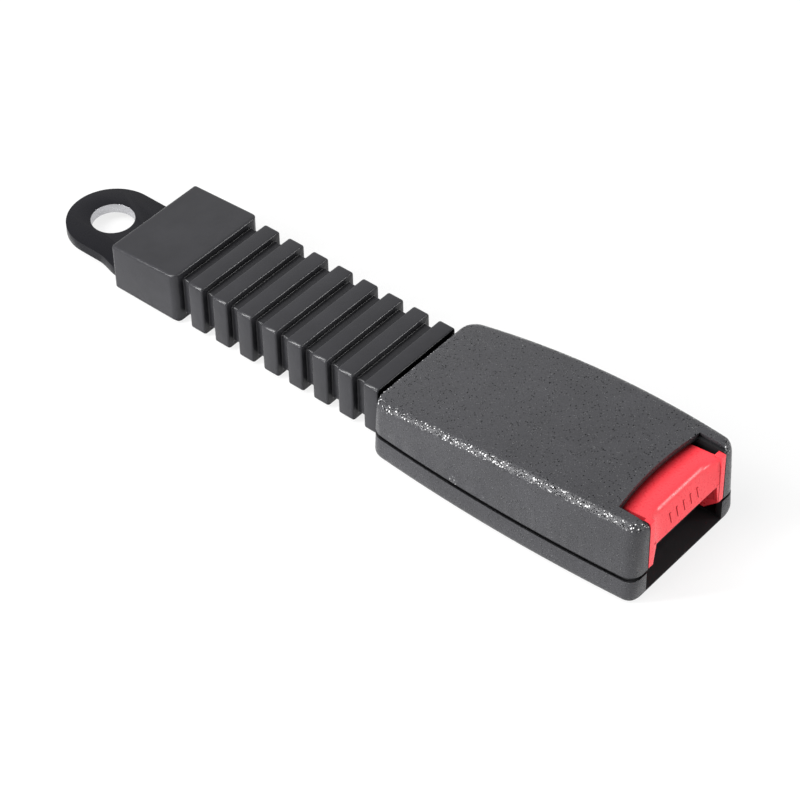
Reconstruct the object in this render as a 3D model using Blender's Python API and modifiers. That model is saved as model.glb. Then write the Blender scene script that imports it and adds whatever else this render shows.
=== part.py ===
"""Seat belt extender: a bolt-on eye plate, a ribbed sleeve over a wire rope and a press-button buckle.

The part lies along X with the eye at -X and the buckle's mouth at +X. Y runs across it and Z is up.
The origin is the bottom centre of the part's box. Stations along the part are written from the
centre of the bolt hole, and at() turns them into X in the part's own frame.
"""

import math

import bmesh
import bpy
from mathutils import Matrix, Vector

MM = 0.001
COLLECTION_NAME = "seat_belt_extender"

# Clearance between two pieces that seat on each other, and how far a cutter passes the face it opens
SEAT_GAP = 0.3 * MM
CUT_MARGIN = 1.0 * MM
SMALLEST_CORNER = 1.0 * MM

# Eye plate
BOLT_HOLE_DIAMETER = 12.0 * MM
EYE_RADIUS = 12.7 * MM
PLATE_UNDERSIDE = 2.6 * MM
PLATE_THICKNESS = 2.8 * MM
PLATE_TAIL_WIDTH = 28.4 * MM
PLATE_TAIL_CORNER = 3.0 * MM
PLATE_FLARE_LENGTH = 8.0 * MM
PLATE_FLARE_GAP = 1.0 * MM
PLATE_OVERHANG = 0.5 * MM
PLATE_EDGE_BEVEL = 0.4 * MM

# Ribbed sleeve
SLEEVE_START = 16.0 * MM
SLEEVE_UNDERSIDE = 0.2 * MM
COLLAR_LENGTH = 23.0 * MM
COLLAR_WIDTH = 32.4 * MM
COLLAR_REAR_HEIGHT = 14.7 * MM
COLLAR_FRONT_HEIGHT = 16.0 * MM
RIB_COUNT = 8
RIB_LAND = 5.0 * MM
RIB_GROOVE = 3.48 * MM
RIB_WIDTH = 30.3 * MM
RIB_HEIGHT = 15.7 * MM
GROOVE_DEPTH = 2.0 * MM
SLEEVE_TOP_CORNER = 0.7 * MM
SLEEVE_BOTTOM_CORNER = 1.1 * MM
SLEEVE_EDGE = 0.5 * MM
COLLAR_REAR_CORNER = 0.9 * MM
COLLAR_FRONT_CORNER = 2.4 * MM
COLLAR_TOP_EDGE = 0.7 * MM
GROOVE_SLOPE = 0.3 * MM
NECK_WIDTH = 22.0 * MM
NECK_HEIGHT = 9.2 * MM
FLANGE_WIDTH = 25.4 * MM
FLANGE_HEIGHT = 11.6 * MM
FLANGE_LENGTH = 1.8 * MM
FLANGE_STEP = 0.05 * MM

# Wire rope, its crimp and its saddle
ROPE_DIAMETER = 4.0 * MM
ROPE_SPREAD = 14.0 * MM
ROPE_SADDLE_TURN = 13.0 * MM
ROPE_APPROACH = 12.0 * MM
ROPE_STRAIGHT = 3.0 * MM
FERRULE_SETBACK = 3.5 * MM
FERRULE_LENGTH = 17.0 * MM
FERRULE_WALL = 0.9 * MM
FERRULE_SIDE_WALL = 1.1 * MM
FERRULE_INSET = 1.2 * MM
FERRULE_EDGE = 0.5 * MM
RIVET_DIAMETER = 4.0 * MM
RIVET_HEAD_DIAMETER = 6.4 * MM
RIVET_HEAD_HEIGHT = 1.2 * MM
RIVET_SPACING = 8.0 * MM

# Buckle covers
BUCKLE_GAP = 1.5 * MM
BUCKLE_LENGTH = 81.8 * MM
BUCKLE_REAR_HALF_WIDTH = 19.4 * MM
BUCKLE_MID_HALF_WIDTH = 21.2 * MM
BUCKLE_FRONT_HALF_WIDTH = 19.7 * MM
BUCKLE_WIDEST_SHARE = 0.6
BUCKLE_DRAFT = 1.3 * MM
BUCKLE_REAR_HEIGHT = 17.2 * MM
BUCKLE_FRONT_HEIGHT = 24.6 * MM
BUCKLE_ARCH = 2.3 * MM
COVER_WALL = 1.7 * MM
REAR_CORNER = 3.8 * MM
FRONT_CORNER = 3.5 * MM
TOP_EDGE = 1.9 * MM
BOTTOM_EDGE = 2.2 * MM
REAR_TOP_EDGE = 0.8 * MM
FRONT_TOP_EDGE = 3.4 * MM
PARTING_HEIGHT = 7.7 * MM
PARTING_GROOVE = 0.9 * MM
RABBET_DEPTH = 0.9 * MM
LOWER_SETBACK = 0.2 * MM
NOTCH_DEPTH = 8.4 * MM
NOTCH_BOW = 1.4 * MM
MOUTH_FLOOR = 1.2 * MM
MOUTH_FLOOR_LENGTH = 7.0 * MM
RAIL_WALL = 1.5 * MM
RAIL_SETBACK = 1.2 * MM
RIB_WALL = 1.4 * MM
HOLD_DOWN_SETBACK = 6.0 * MM
GUIDE_POST_LENGTH = 4.0 * MM

# Steel frame of the buckle
FRAME_STEEL = 1.8 * MM
FRAME_UNDERSIDE = 3.6 * MM
FRAME_INNER_WIDTH = 22.0 * MM
FRAME_FLANGE_STEEL = 1.6 * MM
FRAME_TOP = 12.0 * MM
FRAME_REAR_SETBACK = 1.0 * MM
FRAME_BEND = 0.8 * MM
FRAME_RELIEF_LENGTH = 5.0 * MM
FRAME_RELIEF_DEPTH = 3.0 * MM
SADDLE_SETBACK = 12.0 * MM
LATCH_WINDOW_LENGTH = 7.6 * MM
LATCH_WINDOW_SETBACK = 2.5 * MM
PIVOT_EAR_WALL = 1.6 * MM
STOP_TAB_GAP = 2.0 * MM
STOP_TAB_WIDTH = 8.0 * MM
STOP_TAB_HEIGHT = 3.6 * MM
STOP_TAB_STEEL = 1.2 * MM

# Tongue slot
TONGUE_SLOT_HEIGHT = 4.4 * MM
GUIDE_LENGTH = 9.0 * MM
GUIDE_CAP = 1.0 * MM

# Latch, placed by its share of the room between the rope and the frame's front end
LATCH_PIVOT_SHARE = 0.162
LATCH_NOSE_SHARE = 0.523
LATCH_PIVOT_HEIGHT = 10.8 * MM
LATCH_STEEL = 1.8 * MM
LATCH_WIDTH = 12.0 * MM
LATCH_NOSE_LENGTH = 2.4 * MM
LATCH_NOSE_RISE = 1.2 * MM
LATCH_CORNER = 0.6 * MM
LATCH_LIP_RISE = 4.5 * MM
LATCH_LIP_LENGTH = 4.2 * MM
PIN_DIAMETER = 2.4 * MM
PIN_HEAD_DIAMETER = 3.6 * MM
PIN_HEAD = 0.7 * MM
PIN_HEAD_EDGE = 0.2 * MM
LATCH_EYE_WALL = 0.8 * MM
BRIDGE_SETBACK = 5.0 * MM
BRIDGE_LENGTH = 8.0 * MM
BRIDGE_RISE = 2.3 * MM
BRIDGE_STEEL = 1.2 * MM
BRIDGE_SLOPE = 1.6 * MM

# Ejector
EJECTOR_WIDTH = 15.0 * MM
EJECTOR_HEIGHT = 2.4 * MM
EJECTOR_LENGTH = 12.0 * MM
EJECTOR_SOCKET = 4.0 * MM
EJECTOR_NOSE_GAP = 2.0 * MM
EJECTOR_SPRING_RADIUS = 1.0 * MM

# Press button, its stations measured back from the mouth
BUTTON_TRAVEL = 5.0 * MM
BUTTON_WALL = 1.4 * MM
BUTTON_FACE_WALL = 2.0 * MM
BUTTON_LENGTH = 18.1 * MM
BUTTON_REAR_TOP = 21.2 * MM
BUTTON_STEP_SETBACK = 11.6 * MM
BUTTON_STEP_RUN = 0.8 * MM
BUTTON_STEP_TOP = 21.9 * MM
BUTTON_BROW_SETBACK = 2.3 * MM
BUTTON_BROW_TOP = 22.7 * MM
BUTTON_BROW_RADIUS = 1.6 * MM
BUTTON_FACE_FOOT = 14.2 * MM
BUTTON_FACE_EDGE = 0.4 * MM
BUTTON_FLARE_START = 9.6 * MM
BUTTON_FLARE_REACH = 1.5 * MM
BUTTON_EAR_TOP = 23.4 * MM
BUTTON_EAR_LENGTH = 1.9 * MM
BUTTON_EAR_EDGE = 0.5 * MM
BUTTON_WING_FOOT = 5.0 * MM
BUTTON_WING_CHAMFER = 4.8 * MM
BUTTON_WING_REACH = 6.0 * MM
BUTTON_WING_HEIGHT = 8.0 * MM
BUTTON_LIP_WIDTH = 2.4 * MM
BUTTON_LIP_DEPTH = 1.0 * MM
BUTTON_LIP_SETBACK = 0.1 * MM
BUTTON_ARM_GAP = 0.5 * MM
BUTTON_ARM_STEEP = 1.2 * MM
BUTTON_SPRING_RADIUS = 1.7 * MM
BUTTON_SPRING_INSET = 4.7 * MM
BUTTON_SPRING_HEIGHT = 17.6 * MM
BUTTON_SPRING_ROOM = 9.2 * MM
SPRING_SEAT_MARGIN = 0.9 * MM
SPRING_STOP_WALL = 1.4 * MM

# Springs
SPRING_WIRE = 0.55 * MM
EJECTOR_SPRING_WIRE = 0.45 * MM
LATCH_SPRING_RADIUS = 2.0 * MM
SPRING_STEPS_PER_TURN = 10

CYLINDER_SIDES = 32
ROPE_BEVEL_RESOLUTION = 3

# Places worked out from the sizes above
COLLAR_END = SLEEVE_START + COLLAR_LENGTH
RIBS_END = COLLAR_END + RIB_COUNT * (RIB_LAND + RIB_GROOVE)
BUCKLE_START = RIBS_END + BUCKLE_GAP
BUCKLE_END = BUCKLE_START + BUCKLE_LENGTH
ORIGIN_STATION = (BUCKLE_END - EYE_RADIUS) / 2
SLEEVE_MIDDLE = SLEEVE_UNDERSIDE + RIB_HEIGHT / 2
FRAME_FLOOR = FRAME_UNDERSIDE + FRAME_STEEL
FRAME_START = BUCKLE_START + COVER_WALL + SEAT_GAP + FLANGE_LENGTH + SEAT_GAP + FRAME_REAR_SETBACK
FRAME_END = BUCKLE_END - BUTTON_TRAVEL - BUTTON_LIP_SETBACK - BUTTON_LIP_DEPTH - SEAT_GAP
FRAME_HALF_WIDTH = FRAME_INNER_WIDTH / 2 + FRAME_FLANGE_STEEL
PLATE_TOP = PLATE_UNDERSIDE + PLATE_THICKNESS
FERRULE_FOOT = PLATE_TOP + SEAT_GAP
ROPE_HEIGHT = FERRULE_FOOT + FERRULE_WALL + SEAT_GAP + ROPE_DIAMETER / 2
FERRULE_HEIGHT = 2 * (ROPE_HEIGHT - FERRULE_FOOT)
FERRULE_START = SLEEVE_START + FERRULE_SETBACK
FERRULE_END = FERRULE_START + FERRULE_LENGTH
FERRULE_HALF_WIDTH = (ROPE_SPREAD + ROPE_DIAMETER) / 2 + SEAT_GAP + FERRULE_SIDE_WALL
SADDLE_STATION = FRAME_START + SADDLE_SETBACK
ROPE_END = SADDLE_STATION + (ROPE_SADDLE_TURN + ROPE_DIAMETER) / 2
STOP_TAB_FACE = ROPE_END + STOP_TAB_GAP
LATCH_PIVOT = ROPE_END + LATCH_PIVOT_SHARE * (FRAME_END - ROPE_END)
LATCH_NOSE = ROPE_END + LATCH_NOSE_SHARE * (FRAME_END - ROPE_END)
LATCH_UNDERSIDE = FRAME_FLOOR + TONGUE_SLOT_HEIGHT
BRIDGE_START = LATCH_PIVOT + BRIDGE_SETBACK
EJECTOR_FRONT = LATCH_NOSE - EJECTOR_NOSE_GAP
BUTTON_HALF_WIDTH = FRAME_HALF_WIDTH + SEAT_GAP + BUTTON_WALL
BUTTON_SPRING_OFFSET = BUTTON_HALF_WIDTH - BUTTON_SPRING_INSET
MOUTH_HALF_WIDTH = BUTTON_HALF_WIDTH + SEAT_GAP
BUTTON_REAR = BUCKLE_END - BUTTON_LENGTH
BUTTON_STEP = BUCKLE_END - BUTTON_STEP_SETBACK
BUTTON_BROW = BUCKLE_END - BUTTON_BROW_SETBACK
BUTTON_WING_REAR = BUTTON_REAR - BUTTON_WING_REACH
SPRING_STOP = BUTTON_REAR - BUTTON_SPRING_ROOM - SPRING_STOP_WALL


def at(station):
    """X in the part's frame of a station measured from the bolt hole."""
    return station - ORIGIN_STATION


def clear_scene():
    for item in list(bpy.data.objects):
        bpy.data.objects.remove(item, do_unlink=True)


def new_collection(name):
    collection = bpy.data.collections.new(name)
    bpy.context.scene.collection.children.link(collection)
    return collection


def new_material(name, colour, roughness, metallic):
    material = bpy.data.materials.new(name)
    material.use_nodes = True
    shader = material.node_tree.nodes["Principled BSDF"]
    shader.inputs["Base Color"].default_value = (*colour, 1.0)
    shader.inputs["Roughness"].default_value = roughness
    shader.inputs["Metallic"].default_value = metallic
    material.diffuse_color = (*colour, 1.0)
    return material


def object_from_bmesh(name, bm, collection):
    bmesh.ops.recalc_face_normals(bm, faces=bm.faces)
    mesh = bpy.data.meshes.new(name)
    bm.to_mesh(mesh)
    bm.free()
    item = bpy.data.objects.new(name, mesh)
    collection.objects.link(item)
    return item


def hide_tool(item):
    item.hide_render = True
    item.display_type = "WIRE"
    return item


def box(name, x_range, y_range, z_range, collection):
    """A closed box between two corners, given by stations along X."""
    bm = bmesh.new()
    size = (x_range[1] - x_range[0], y_range[1] - y_range[0], z_range[1] - z_range[0])
    middle = (at((x_range[0] + x_range[1]) / 2), (y_range[0] + y_range[1]) / 2, (z_range[0] + z_range[1]) / 2)
    bmesh.ops.create_cube(bm, size=1.0, matrix=Matrix.Translation(middle) @ Matrix.Diagonal((*size, 1.0)))
    return object_from_bmesh(name, bm, collection)


def rod(name, radius, start, end, collection, end_radius=None, sides=CYLINDER_SIDES):
    """A closed cylinder or cone between two points in the part's frame."""
    bm = bmesh.new()
    direction = Vector(end) - Vector(start)
    turn = direction.to_track_quat("Z", "Y").to_matrix().to_4x4()
    place = Matrix.Translation(Vector(start) + direction / 2) @ turn
    top_radius = radius if end_radius is None else end_radius
    bmesh.ops.create_cone(bm, cap_ends=True, segments=sides, radius1=radius, radius2=top_radius,
                          depth=direction.length, matrix=place)
    return object_from_bmesh(name, bm, collection)


def outline_solid(name, loops, low, high, collection, side_view=False):
    """A flat outline with holes, made from a filled 2D curve.

    A plan outline lies in XY and stands from low to high in Z. A side view outline lies in XZ and
    stands from low to high in Y.
    """
    curve = bpy.data.curves.new(name + "_outline", "CURVE")
    curve.dimensions = "2D"
    curve.fill_mode = "BOTH"
    curve.extrude = (high - low) / 2
    for loop in loops:
        spline = curve.splines.new("POLY")
        spline.points.add(len(loop) - 1)
        spline.use_cyclic_u = True
        for point, (along, across) in zip(spline.points, loop):
            point.co = (at(along), across, 0.0, 1.0)
    drawn = bpy.data.objects.new(name + "_outline", curve)
    collection.objects.link(drawn)
    middle = (low + high) / 2
    if side_view:
        drawn.matrix_world = Matrix.Translation((0, middle, 0)) @ Matrix.Rotation(math.pi / 2, 4, "X")
    else:
        drawn.matrix_world = Matrix.Translation((0, 0, middle))
    return solid_from_curve(name, drawn, collection)


def solid_from_curve(name, drawn, collection):
    """A mesh object with welded caps in place of a curve object."""
    bpy.context.view_layer.update()
    graph = bpy.context.evaluated_depsgraph_get()
    mesh = bpy.data.meshes.new_from_object(drawn.evaluated_get(graph))
    place = drawn.matrix_world.copy()
    bpy.data.objects.remove(drawn, do_unlink=True)
    bm = bmesh.new()
    bm.from_mesh(mesh)
    bpy.data.meshes.remove(mesh)
    bm.transform(place)
    bmesh.ops.remove_doubles(bm, verts=bm.verts, dist=0.000001)
    return object_from_bmesh(name, bm, collection)


def loft(name, sections, collection):
    """A closed solid through sections with the same number of points, closed by flat ends."""
    bm = bmesh.new()
    rings = [[bm.verts.new(point) for point in section] for section in sections]
    for ring, following in zip(rings, rings[1:]):
        count = len(ring)
        for index in range(count):
            after = (index + 1) % count
            bm.faces.new((ring[index], ring[after], following[after], following[index]))
    bm.faces.new(rings[0])
    bm.faces.new(rings[-1])
    return object_from_bmesh(name, bm, collection)


def combine(target, tool, operation):
    modifier = target.modifiers.new(operation.lower() + "_" + tool.name, "BOOLEAN")
    modifier.operation = operation
    modifier.solver = "EXACT"
    modifier.object = hide_tool(tool)


def cut(target, tool):
    combine(target, tool, "DIFFERENCE")


def join(target, tool):
    combine(target, tool, "UNION")


def round_edges(target, width, segments=2, angle=40.0):
    modifier = target.modifiers.new("rounded_edges", "BEVEL")
    modifier.width = width
    modifier.segments = segments
    modifier.limit_method = "ANGLE"
    modifier.angle_limit = math.radians(angle)
    modifier.harden_normals = False


def finish(item, material, smooth_angle=35.0):
    item.data.materials.clear()
    item.data.materials.append(material)
    item.data.shade_smooth()
    item.data.set_sharp_from_angle(angle=math.radians(smooth_angle))


def arc(centre, radius, start, end, steps):
    """Points of an arc in a plane, angles in degrees, both ends included."""
    points = []
    for index in range(steps + 1):
        angle = math.radians(start + (end - start) * index / steps)
        points.append((centre[0] + radius * math.cos(angle), centre[1] + radius * math.sin(angle)))
    return points


def fillet(before, corner, after, radius, steps=3):
    """Points that round one corner of an outline between its two neighbours."""
    corner = Vector(corner)
    inward = (Vector(before) - corner).normalized()
    onward = (Vector(after) - corner).normalized()
    half_angle = inward.angle(onward) / 2
    centre = corner + (inward + onward).normalized() * (radius / math.sin(half_angle))
    first = corner + inward * (radius / math.tan(half_angle)) - centre
    last = corner + onward * (radius / math.tan(half_angle)) - centre
    return [tuple(centre + first.lerp(last, index / steps).normalized() * radius) for index in range(steps + 1)]


def rounded_rectangle(half_width, half_height, top_radius, bottom_radius, steps):
    """Points around a rounded rectangle about its own centre, counter-clockwise."""
    top_across, top_upward = half_width - top_radius, half_height - top_radius
    bottom_across, bottom_upward = half_width - bottom_radius, half_height - bottom_radius
    points = arc((top_across, top_upward), top_radius, 0, 90, steps)
    points += arc((-top_across, top_upward), top_radius, 90, 180, steps)
    points += arc((-bottom_across, -bottom_upward), bottom_radius, 180, 270, steps)
    points += arc((bottom_across, -bottom_upward), bottom_radius, 270, 360, steps)
    return points


def section_at(station, half_width, half_height, middle, radius, bottom_radius=None, steps=4):
    low_radius = radius if bottom_radius is None else bottom_radius
    outline = rounded_rectangle(half_width, half_height, radius, low_radius, steps)
    return [(at(station), across, middle + upward) for across, upward in outline]


def edge_drop(distance, radius):
    """How far a rounded edge has fallen away at this distance in from its end."""
    if distance >= radius:
        return 0.0
    reach = radius - max(distance, 0.0)
    return radius - math.sqrt(radius * radius - reach * reach)


def build_anchor_plate(parts, tools, material):
    """Eye plate: a round eye that flares into a wider tail inside the collar."""
    hole_steps = 40
    tail_end = FERRULE_END + PLATE_OVERHANG
    tail_half = PLATE_TAIL_WIDTH / 2
    flare_end = SLEEVE_START - PLATE_FLARE_GAP
    flare_start = flare_end - PLATE_FLARE_LENGTH
    tail_corner = PLATE_TAIL_CORNER
    outline = arc((0.0, 0.0), EYE_RADIUS, 90, 270, 24)
    outline.append((flare_start, -EYE_RADIUS))
    outline.append(((flare_start + flare_end) / 2, -(EYE_RADIUS * 0.7 + tail_half * 0.3)))
    outline.append((flare_end, -tail_half))
    outline += arc((tail_end - tail_corner, -tail_half + tail_corner), tail_corner, 270, 360, 5)
    outline += arc((tail_end - tail_corner, tail_half - tail_corner), tail_corner, 0, 90, 5)
    outline.append((flare_end, tail_half))
    outline.append(((flare_start + flare_end) / 2, EYE_RADIUS * 0.7 + tail_half * 0.3))
    outline.append((flare_start, EYE_RADIUS))
    bolt_hole = arc((0.0, 0.0), BOLT_HOLE_DIAMETER / 2, 0, 360, hole_steps)[:-1]
    plate = outline_solid("anchor_plate", [outline, bolt_hole], PLATE_UNDERSIDE, PLATE_TOP, parts)
    round_edges(plate, PLATE_EDGE_BEVEL)
    for index, station in enumerate(rivet_stations()):
        shank = rod(f"rivet_hole_{index}", RIVET_DIAMETER / 2 + SEAT_GAP,
                    (at(station), 0, PLATE_UNDERSIDE - CUT_MARGIN),
                    (at(station), 0, PLATE_TOP + CUT_MARGIN), tools)
        cut(plate, shank)
        sink = rod(f"rivet_sink_{index}", RIVET_HEAD_DIAMETER / 2 + SEAT_GAP,
                   (at(station), 0, PLATE_UNDERSIDE - PLATE_EDGE_BEVEL / 2),
                   (at(station), 0, PLATE_UNDERSIDE + RIVET_HEAD_HEIGHT),
                   tools, end_radius=RIVET_DIAMETER / 2 + SEAT_GAP)
        cut(plate, sink)
    finish(plate, material)
    return plate


def rivet_stations():
    middle = (FERRULE_START + FERRULE_END) / 2
    return (middle - RIVET_SPACING / 2, middle + RIVET_SPACING / 2)


def build_ferrule(parts, tools, material):
    """Crimp block with a bore for each end of the rope and two rivet holes between them."""
    half_height = FERRULE_HEIGHT / 2
    edge = FERRULE_EDGE
    corner = half_height - edge / 2
    sections = [
        section_at(FERRULE_START, FERRULE_HALF_WIDTH - edge, half_height - edge, ROPE_HEIGHT, corner - edge),
        section_at(FERRULE_START + edge, FERRULE_HALF_WIDTH, half_height, ROPE_HEIGHT, corner),
        section_at(FERRULE_END - edge, FERRULE_HALF_WIDTH, half_height, ROPE_HEIGHT, corner),
        section_at(FERRULE_END, FERRULE_HALF_WIDTH - edge, half_height - edge, ROPE_HEIGHT, corner - edge),
    ]
    ferrule = loft("cable_ferrule", sections, parts)
    for side, name in ((-1, "right"), (1, "left")):
        bore = rod(f"rope_bore_{name}", ROPE_DIAMETER / 2 + SEAT_GAP,
                   (at(FERRULE_START + FERRULE_INSET), side * ROPE_SPREAD / 2, ROPE_HEIGHT),
                   (at(FERRULE_END + CUT_MARGIN), side * ROPE_SPREAD / 2, ROPE_HEIGHT), tools, sides=20)
        cut(ferrule, bore)
    for index, station in enumerate(rivet_stations()):
        hole = rod(f"ferrule_hole_{index}", RIVET_DIAMETER / 2 + SEAT_GAP,
                   (at(station), 0, FERRULE_FOOT - CUT_MARGIN),
                   (at(station), 0, FERRULE_FOOT + FERRULE_HEIGHT + CUT_MARGIN), tools, sides=24)
        cut(ferrule, hole)
    finish(ferrule, material)


def rivet_head(top, seat):
    """Profile of a domed rivet head, from its crown down to the edge that seats."""
    head = RIVET_HEAD_DIAMETER / 2
    rise = top - seat
    return [(0.0, top), (head * 0.6, top - rise * 0.1), (head * 0.9, top - rise * 0.4), (head, seat)]


def build_ferrule_rivet(name, station, parts, material):
    """Turned rivet: flush head under the plate, shank, and a round head on the ferrule."""
    shank = RIVET_DIAMETER / 2
    head = RIVET_HEAD_DIAMETER / 2
    foot = PLATE_UNDERSIDE
    seat = FERRULE_FOOT + FERRULE_HEIGHT + SEAT_GAP
    top = seat + RIVET_HEAD_HEIGHT
    profile = [*rivet_head(top, seat), (shank, seat), (shank, foot + RIVET_HEAD_HEIGHT), (head, foot),
               (0.0, foot)]
    turned(name, profile, (at(station), 0.0, 0.0), parts, material)


def turned(name, profile, place, parts, material, steps=24):
    """A turned piece: its profile, from top to bottom down the outer side, spun about Z."""
    bm = bmesh.new()
    points = [bm.verts.new((radius, 0.0, height)) for radius, height in profile]
    for first, second in zip(points, points[1:]):
        bm.edges.new((first, second))
    mesh = bpy.data.meshes.new(name)
    bm.to_mesh(mesh)
    bm.free()
    item = bpy.data.objects.new(name, mesh)
    item.location = place
    parts.objects.link(item)
    modifier = item.modifiers.new("turn", "SCREW")
    modifier.steps = steps
    modifier.render_steps = steps
    modifier.use_merge_vertices = True
    modifier.merge_threshold = 0.00001
    modifier.use_smooth_shade = True
    item.data.materials.append(material)
    return item


def rope_route():
    """The rope's middle line: out of one bore, round the saddle and back into the other bore."""
    start = FERRULE_START + FERRULE_INSET + SEAT_GAP
    turn = ROPE_SADDLE_TURN / 2
    spread = ROPE_SPREAD / 2
    straight_start = FERRULE_END + ROPE_STRAIGHT
    straight_end = SADDLE_STATION - ROPE_APPROACH
    points = [(start, -spread)]
    runs = 8
    for index in range(runs + 1):
        points.append((straight_start + (straight_end - straight_start) * index / runs, -spread))
    points.append((SADDLE_STATION - ROPE_APPROACH * 0.4, -(spread + turn) / 2))
    mirrored = [(station, -across) for station, across in reversed(points)]
    return points + arc((SADDLE_STATION, 0.0), turn, -90, 90, 10) + mirrored


def build_rope(parts, material):
    curve = bpy.data.curves.new("cable_loop", "CURVE")
    curve.dimensions = "3D"
    curve.bevel_depth = ROPE_DIAMETER / 2
    curve.bevel_resolution = ROPE_BEVEL_RESOLUTION
    curve.use_fill_caps = True
    route = rope_route()
    spline = curve.splines.new("POLY")
    spline.points.add(len(route) - 1)
    for point, (station, across) in zip(spline.points, route):
        point.co = (at(station), across, ROPE_HEIGHT, 1.0)
    drawn = bpy.data.objects.new("cable_loop_route", curve)
    parts.objects.link(drawn)
    rope = solid_from_curve("cable_loop", drawn, parts)
    finish(rope, material, 60.0)


def sleeve_sections():
    """Rings of the sleeve's outside: the collar, each rib with its groove, the neck and its flange."""
    sections = []

    def ring(station, width, height, low, narrowing=0.0, lowering=0.0):
        half_width = width / 2 - narrowing
        half_height = height / 2 - lowering
        shrink = max(narrowing, lowering)
        top_radius = max(SLEEVE_TOP_CORNER - shrink, SLEEVE_EDGE)
        bottom_radius = max(SLEEVE_BOTTOM_CORNER - shrink, SLEEVE_EDGE)
        middle = low + height / 2
        sections.append(section_at(station, half_width, half_height, middle, top_radius, bottom_radius))

    def collar_ring(distance, from_front):
        corner = COLLAR_FRONT_CORNER if from_front else COLLAR_REAR_CORNER
        station = COLLAR_END - distance if from_front else SLEEVE_START + distance
        share = (station - SLEEVE_START) / COLLAR_LENGTH
        height = COLLAR_REAR_HEIGHT + (COLLAR_FRONT_HEIGHT - COLLAR_REAR_HEIGHT) * share
        ring(station, COLLAR_WIDTH, height, SLEEVE_UNDERSIDE, edge_drop(distance, corner),
             edge_drop(distance, COLLAR_TOP_EDGE))

    for share in (0.0, 0.15, 0.5, 1.0):
        collar_ring(share * COLLAR_REAR_CORNER, False)
    for share in (1.0, 0.6, 0.3, 0.1, 0.0):
        collar_ring(share * COLLAR_FRONT_CORNER, True)
    for index in range(RIB_COUNT):
        groove_start = COLLAR_END + index * (RIB_LAND + RIB_GROOVE)
        rib_start = groove_start + RIB_GROOVE
        rib_end = rib_start + RIB_LAND
        for station in (groove_start + GROOVE_SLOPE, rib_start - GROOVE_SLOPE):
            ring(station, RIB_WIDTH, RIB_HEIGHT, SLEEVE_UNDERSIDE, GROOVE_DEPTH, GROOVE_DEPTH)
        ring(rib_start, RIB_WIDTH, RIB_HEIGHT, SLEEVE_UNDERSIDE, SLEEVE_EDGE, SLEEVE_EDGE)
        ring(rib_start + SLEEVE_EDGE, RIB_WIDTH, RIB_HEIGHT, SLEEVE_UNDERSIDE)
        ring(rib_end - SLEEVE_EDGE, RIB_WIDTH, RIB_HEIGHT, SLEEVE_UNDERSIDE)
        ring(rib_end, RIB_WIDTH, RIB_HEIGHT, SLEEVE_UNDERSIDE, SLEEVE_EDGE, SLEEVE_EDGE)
    flange_start = BUCKLE_START + COVER_WALL + SEAT_GAP
    neck_low = SLEEVE_MIDDLE - NECK_HEIGHT / 2
    flange_low = SLEEVE_MIDDLE - FLANGE_HEIGHT / 2
    ring(RIBS_END + GROOVE_SLOPE, NECK_WIDTH, NECK_HEIGHT, neck_low)
    ring(flange_start, NECK_WIDTH, NECK_HEIGHT, neck_low)
    ring(flange_start + FLANGE_STEP, FLANGE_WIDTH, FLANGE_HEIGHT, flange_low)
    ring(flange_start + FLANGE_LENGTH, FLANGE_WIDTH, FLANGE_HEIGHT, flange_low)
    return sections


def build_sleeve(parts, tools, material):
    """One moulding: the collar over the crimp, eight ribs, and a neck held in the covers."""
    sleeve = loft("ribbed_sleeve", sleeve_sections(), parts)
    rope_room = ROPE_DIAMETER / 2 + SEAT_GAP
    bore_half = ROPE_SPREAD / 2 + rope_room
    bore_end = BUCKLE_START + COVER_WALL + SEAT_GAP + FLANGE_LENGTH + CUT_MARGIN
    bore = loft("sleeve_bore", [
        section_at(FERRULE_END, bore_half, rope_room, ROPE_HEIGHT, rope_room * 0.95),
        section_at(bore_end, bore_half, rope_room, ROPE_HEIGHT, rope_room * 0.95),
    ], tools)
    cut(sleeve, bore)
    pocket_top = FERRULE_FOOT + FERRULE_HEIGHT + 2 * SEAT_GAP + RIVET_HEAD_HEIGHT
    pocket_half = FERRULE_HALF_WIDTH + SEAT_GAP
    pocket_start = FERRULE_START - SEAT_GAP
    pocket_end = FERRULE_END + SEAT_GAP
    crimp_pocket = box("crimp_pocket", (pocket_start, pocket_end), (-pocket_half, pocket_half),
                       (PLATE_TOP - PLATE_THICKNESS / 2, pocket_top), tools)
    cut(sleeve, crimp_pocket)
    slot_half = PLATE_TAIL_WIDTH / 2 + SEAT_GAP
    plate_slot = box("plate_slot", (SLEEVE_START - CUT_MARGIN, FERRULE_END + PLATE_OVERHANG + SEAT_GAP),
                     (-slot_half, slot_half), (PLATE_UNDERSIDE - SEAT_GAP, PLATE_TOP + SEAT_GAP), tools)
    cut(sleeve, plate_slot)
    finish(sleeve, material, 50.0)


def half_width_at(station, height):
    """Half the buckle's width: widest past the middle, drawn in a little towards the top."""
    share = (station - BUCKLE_START) / BUCKLE_LENGTH
    peak = BUCKLE_WIDEST_SHARE
    rear = (share - peak) * (share - 1) / peak
    middle = share * (share - 1) / (peak * (peak - 1))
    front = share * (share - peak) / (1 - peak)
    plain = BUCKLE_REAR_HALF_WIDTH * rear + BUCKLE_MID_HALF_WIDTH * middle + BUCKLE_FRONT_HALF_WIDTH * front
    return plain + BUCKLE_DRAFT * (1 - height / BUCKLE_FRONT_HEIGHT)


def cover_top_at(station):
    """Height of the upper cover: a wedge that rises to the mouth with a gentle arch."""
    share = (station - BUCKLE_START) / BUCKLE_LENGTH
    rise = BUCKLE_REAR_HEIGHT + (BUCKLE_FRONT_HEIGHT - BUCKLE_REAR_HEIGHT) * share
    return rise + 4 * BUCKLE_ARCH * share * (1 - share)


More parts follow.
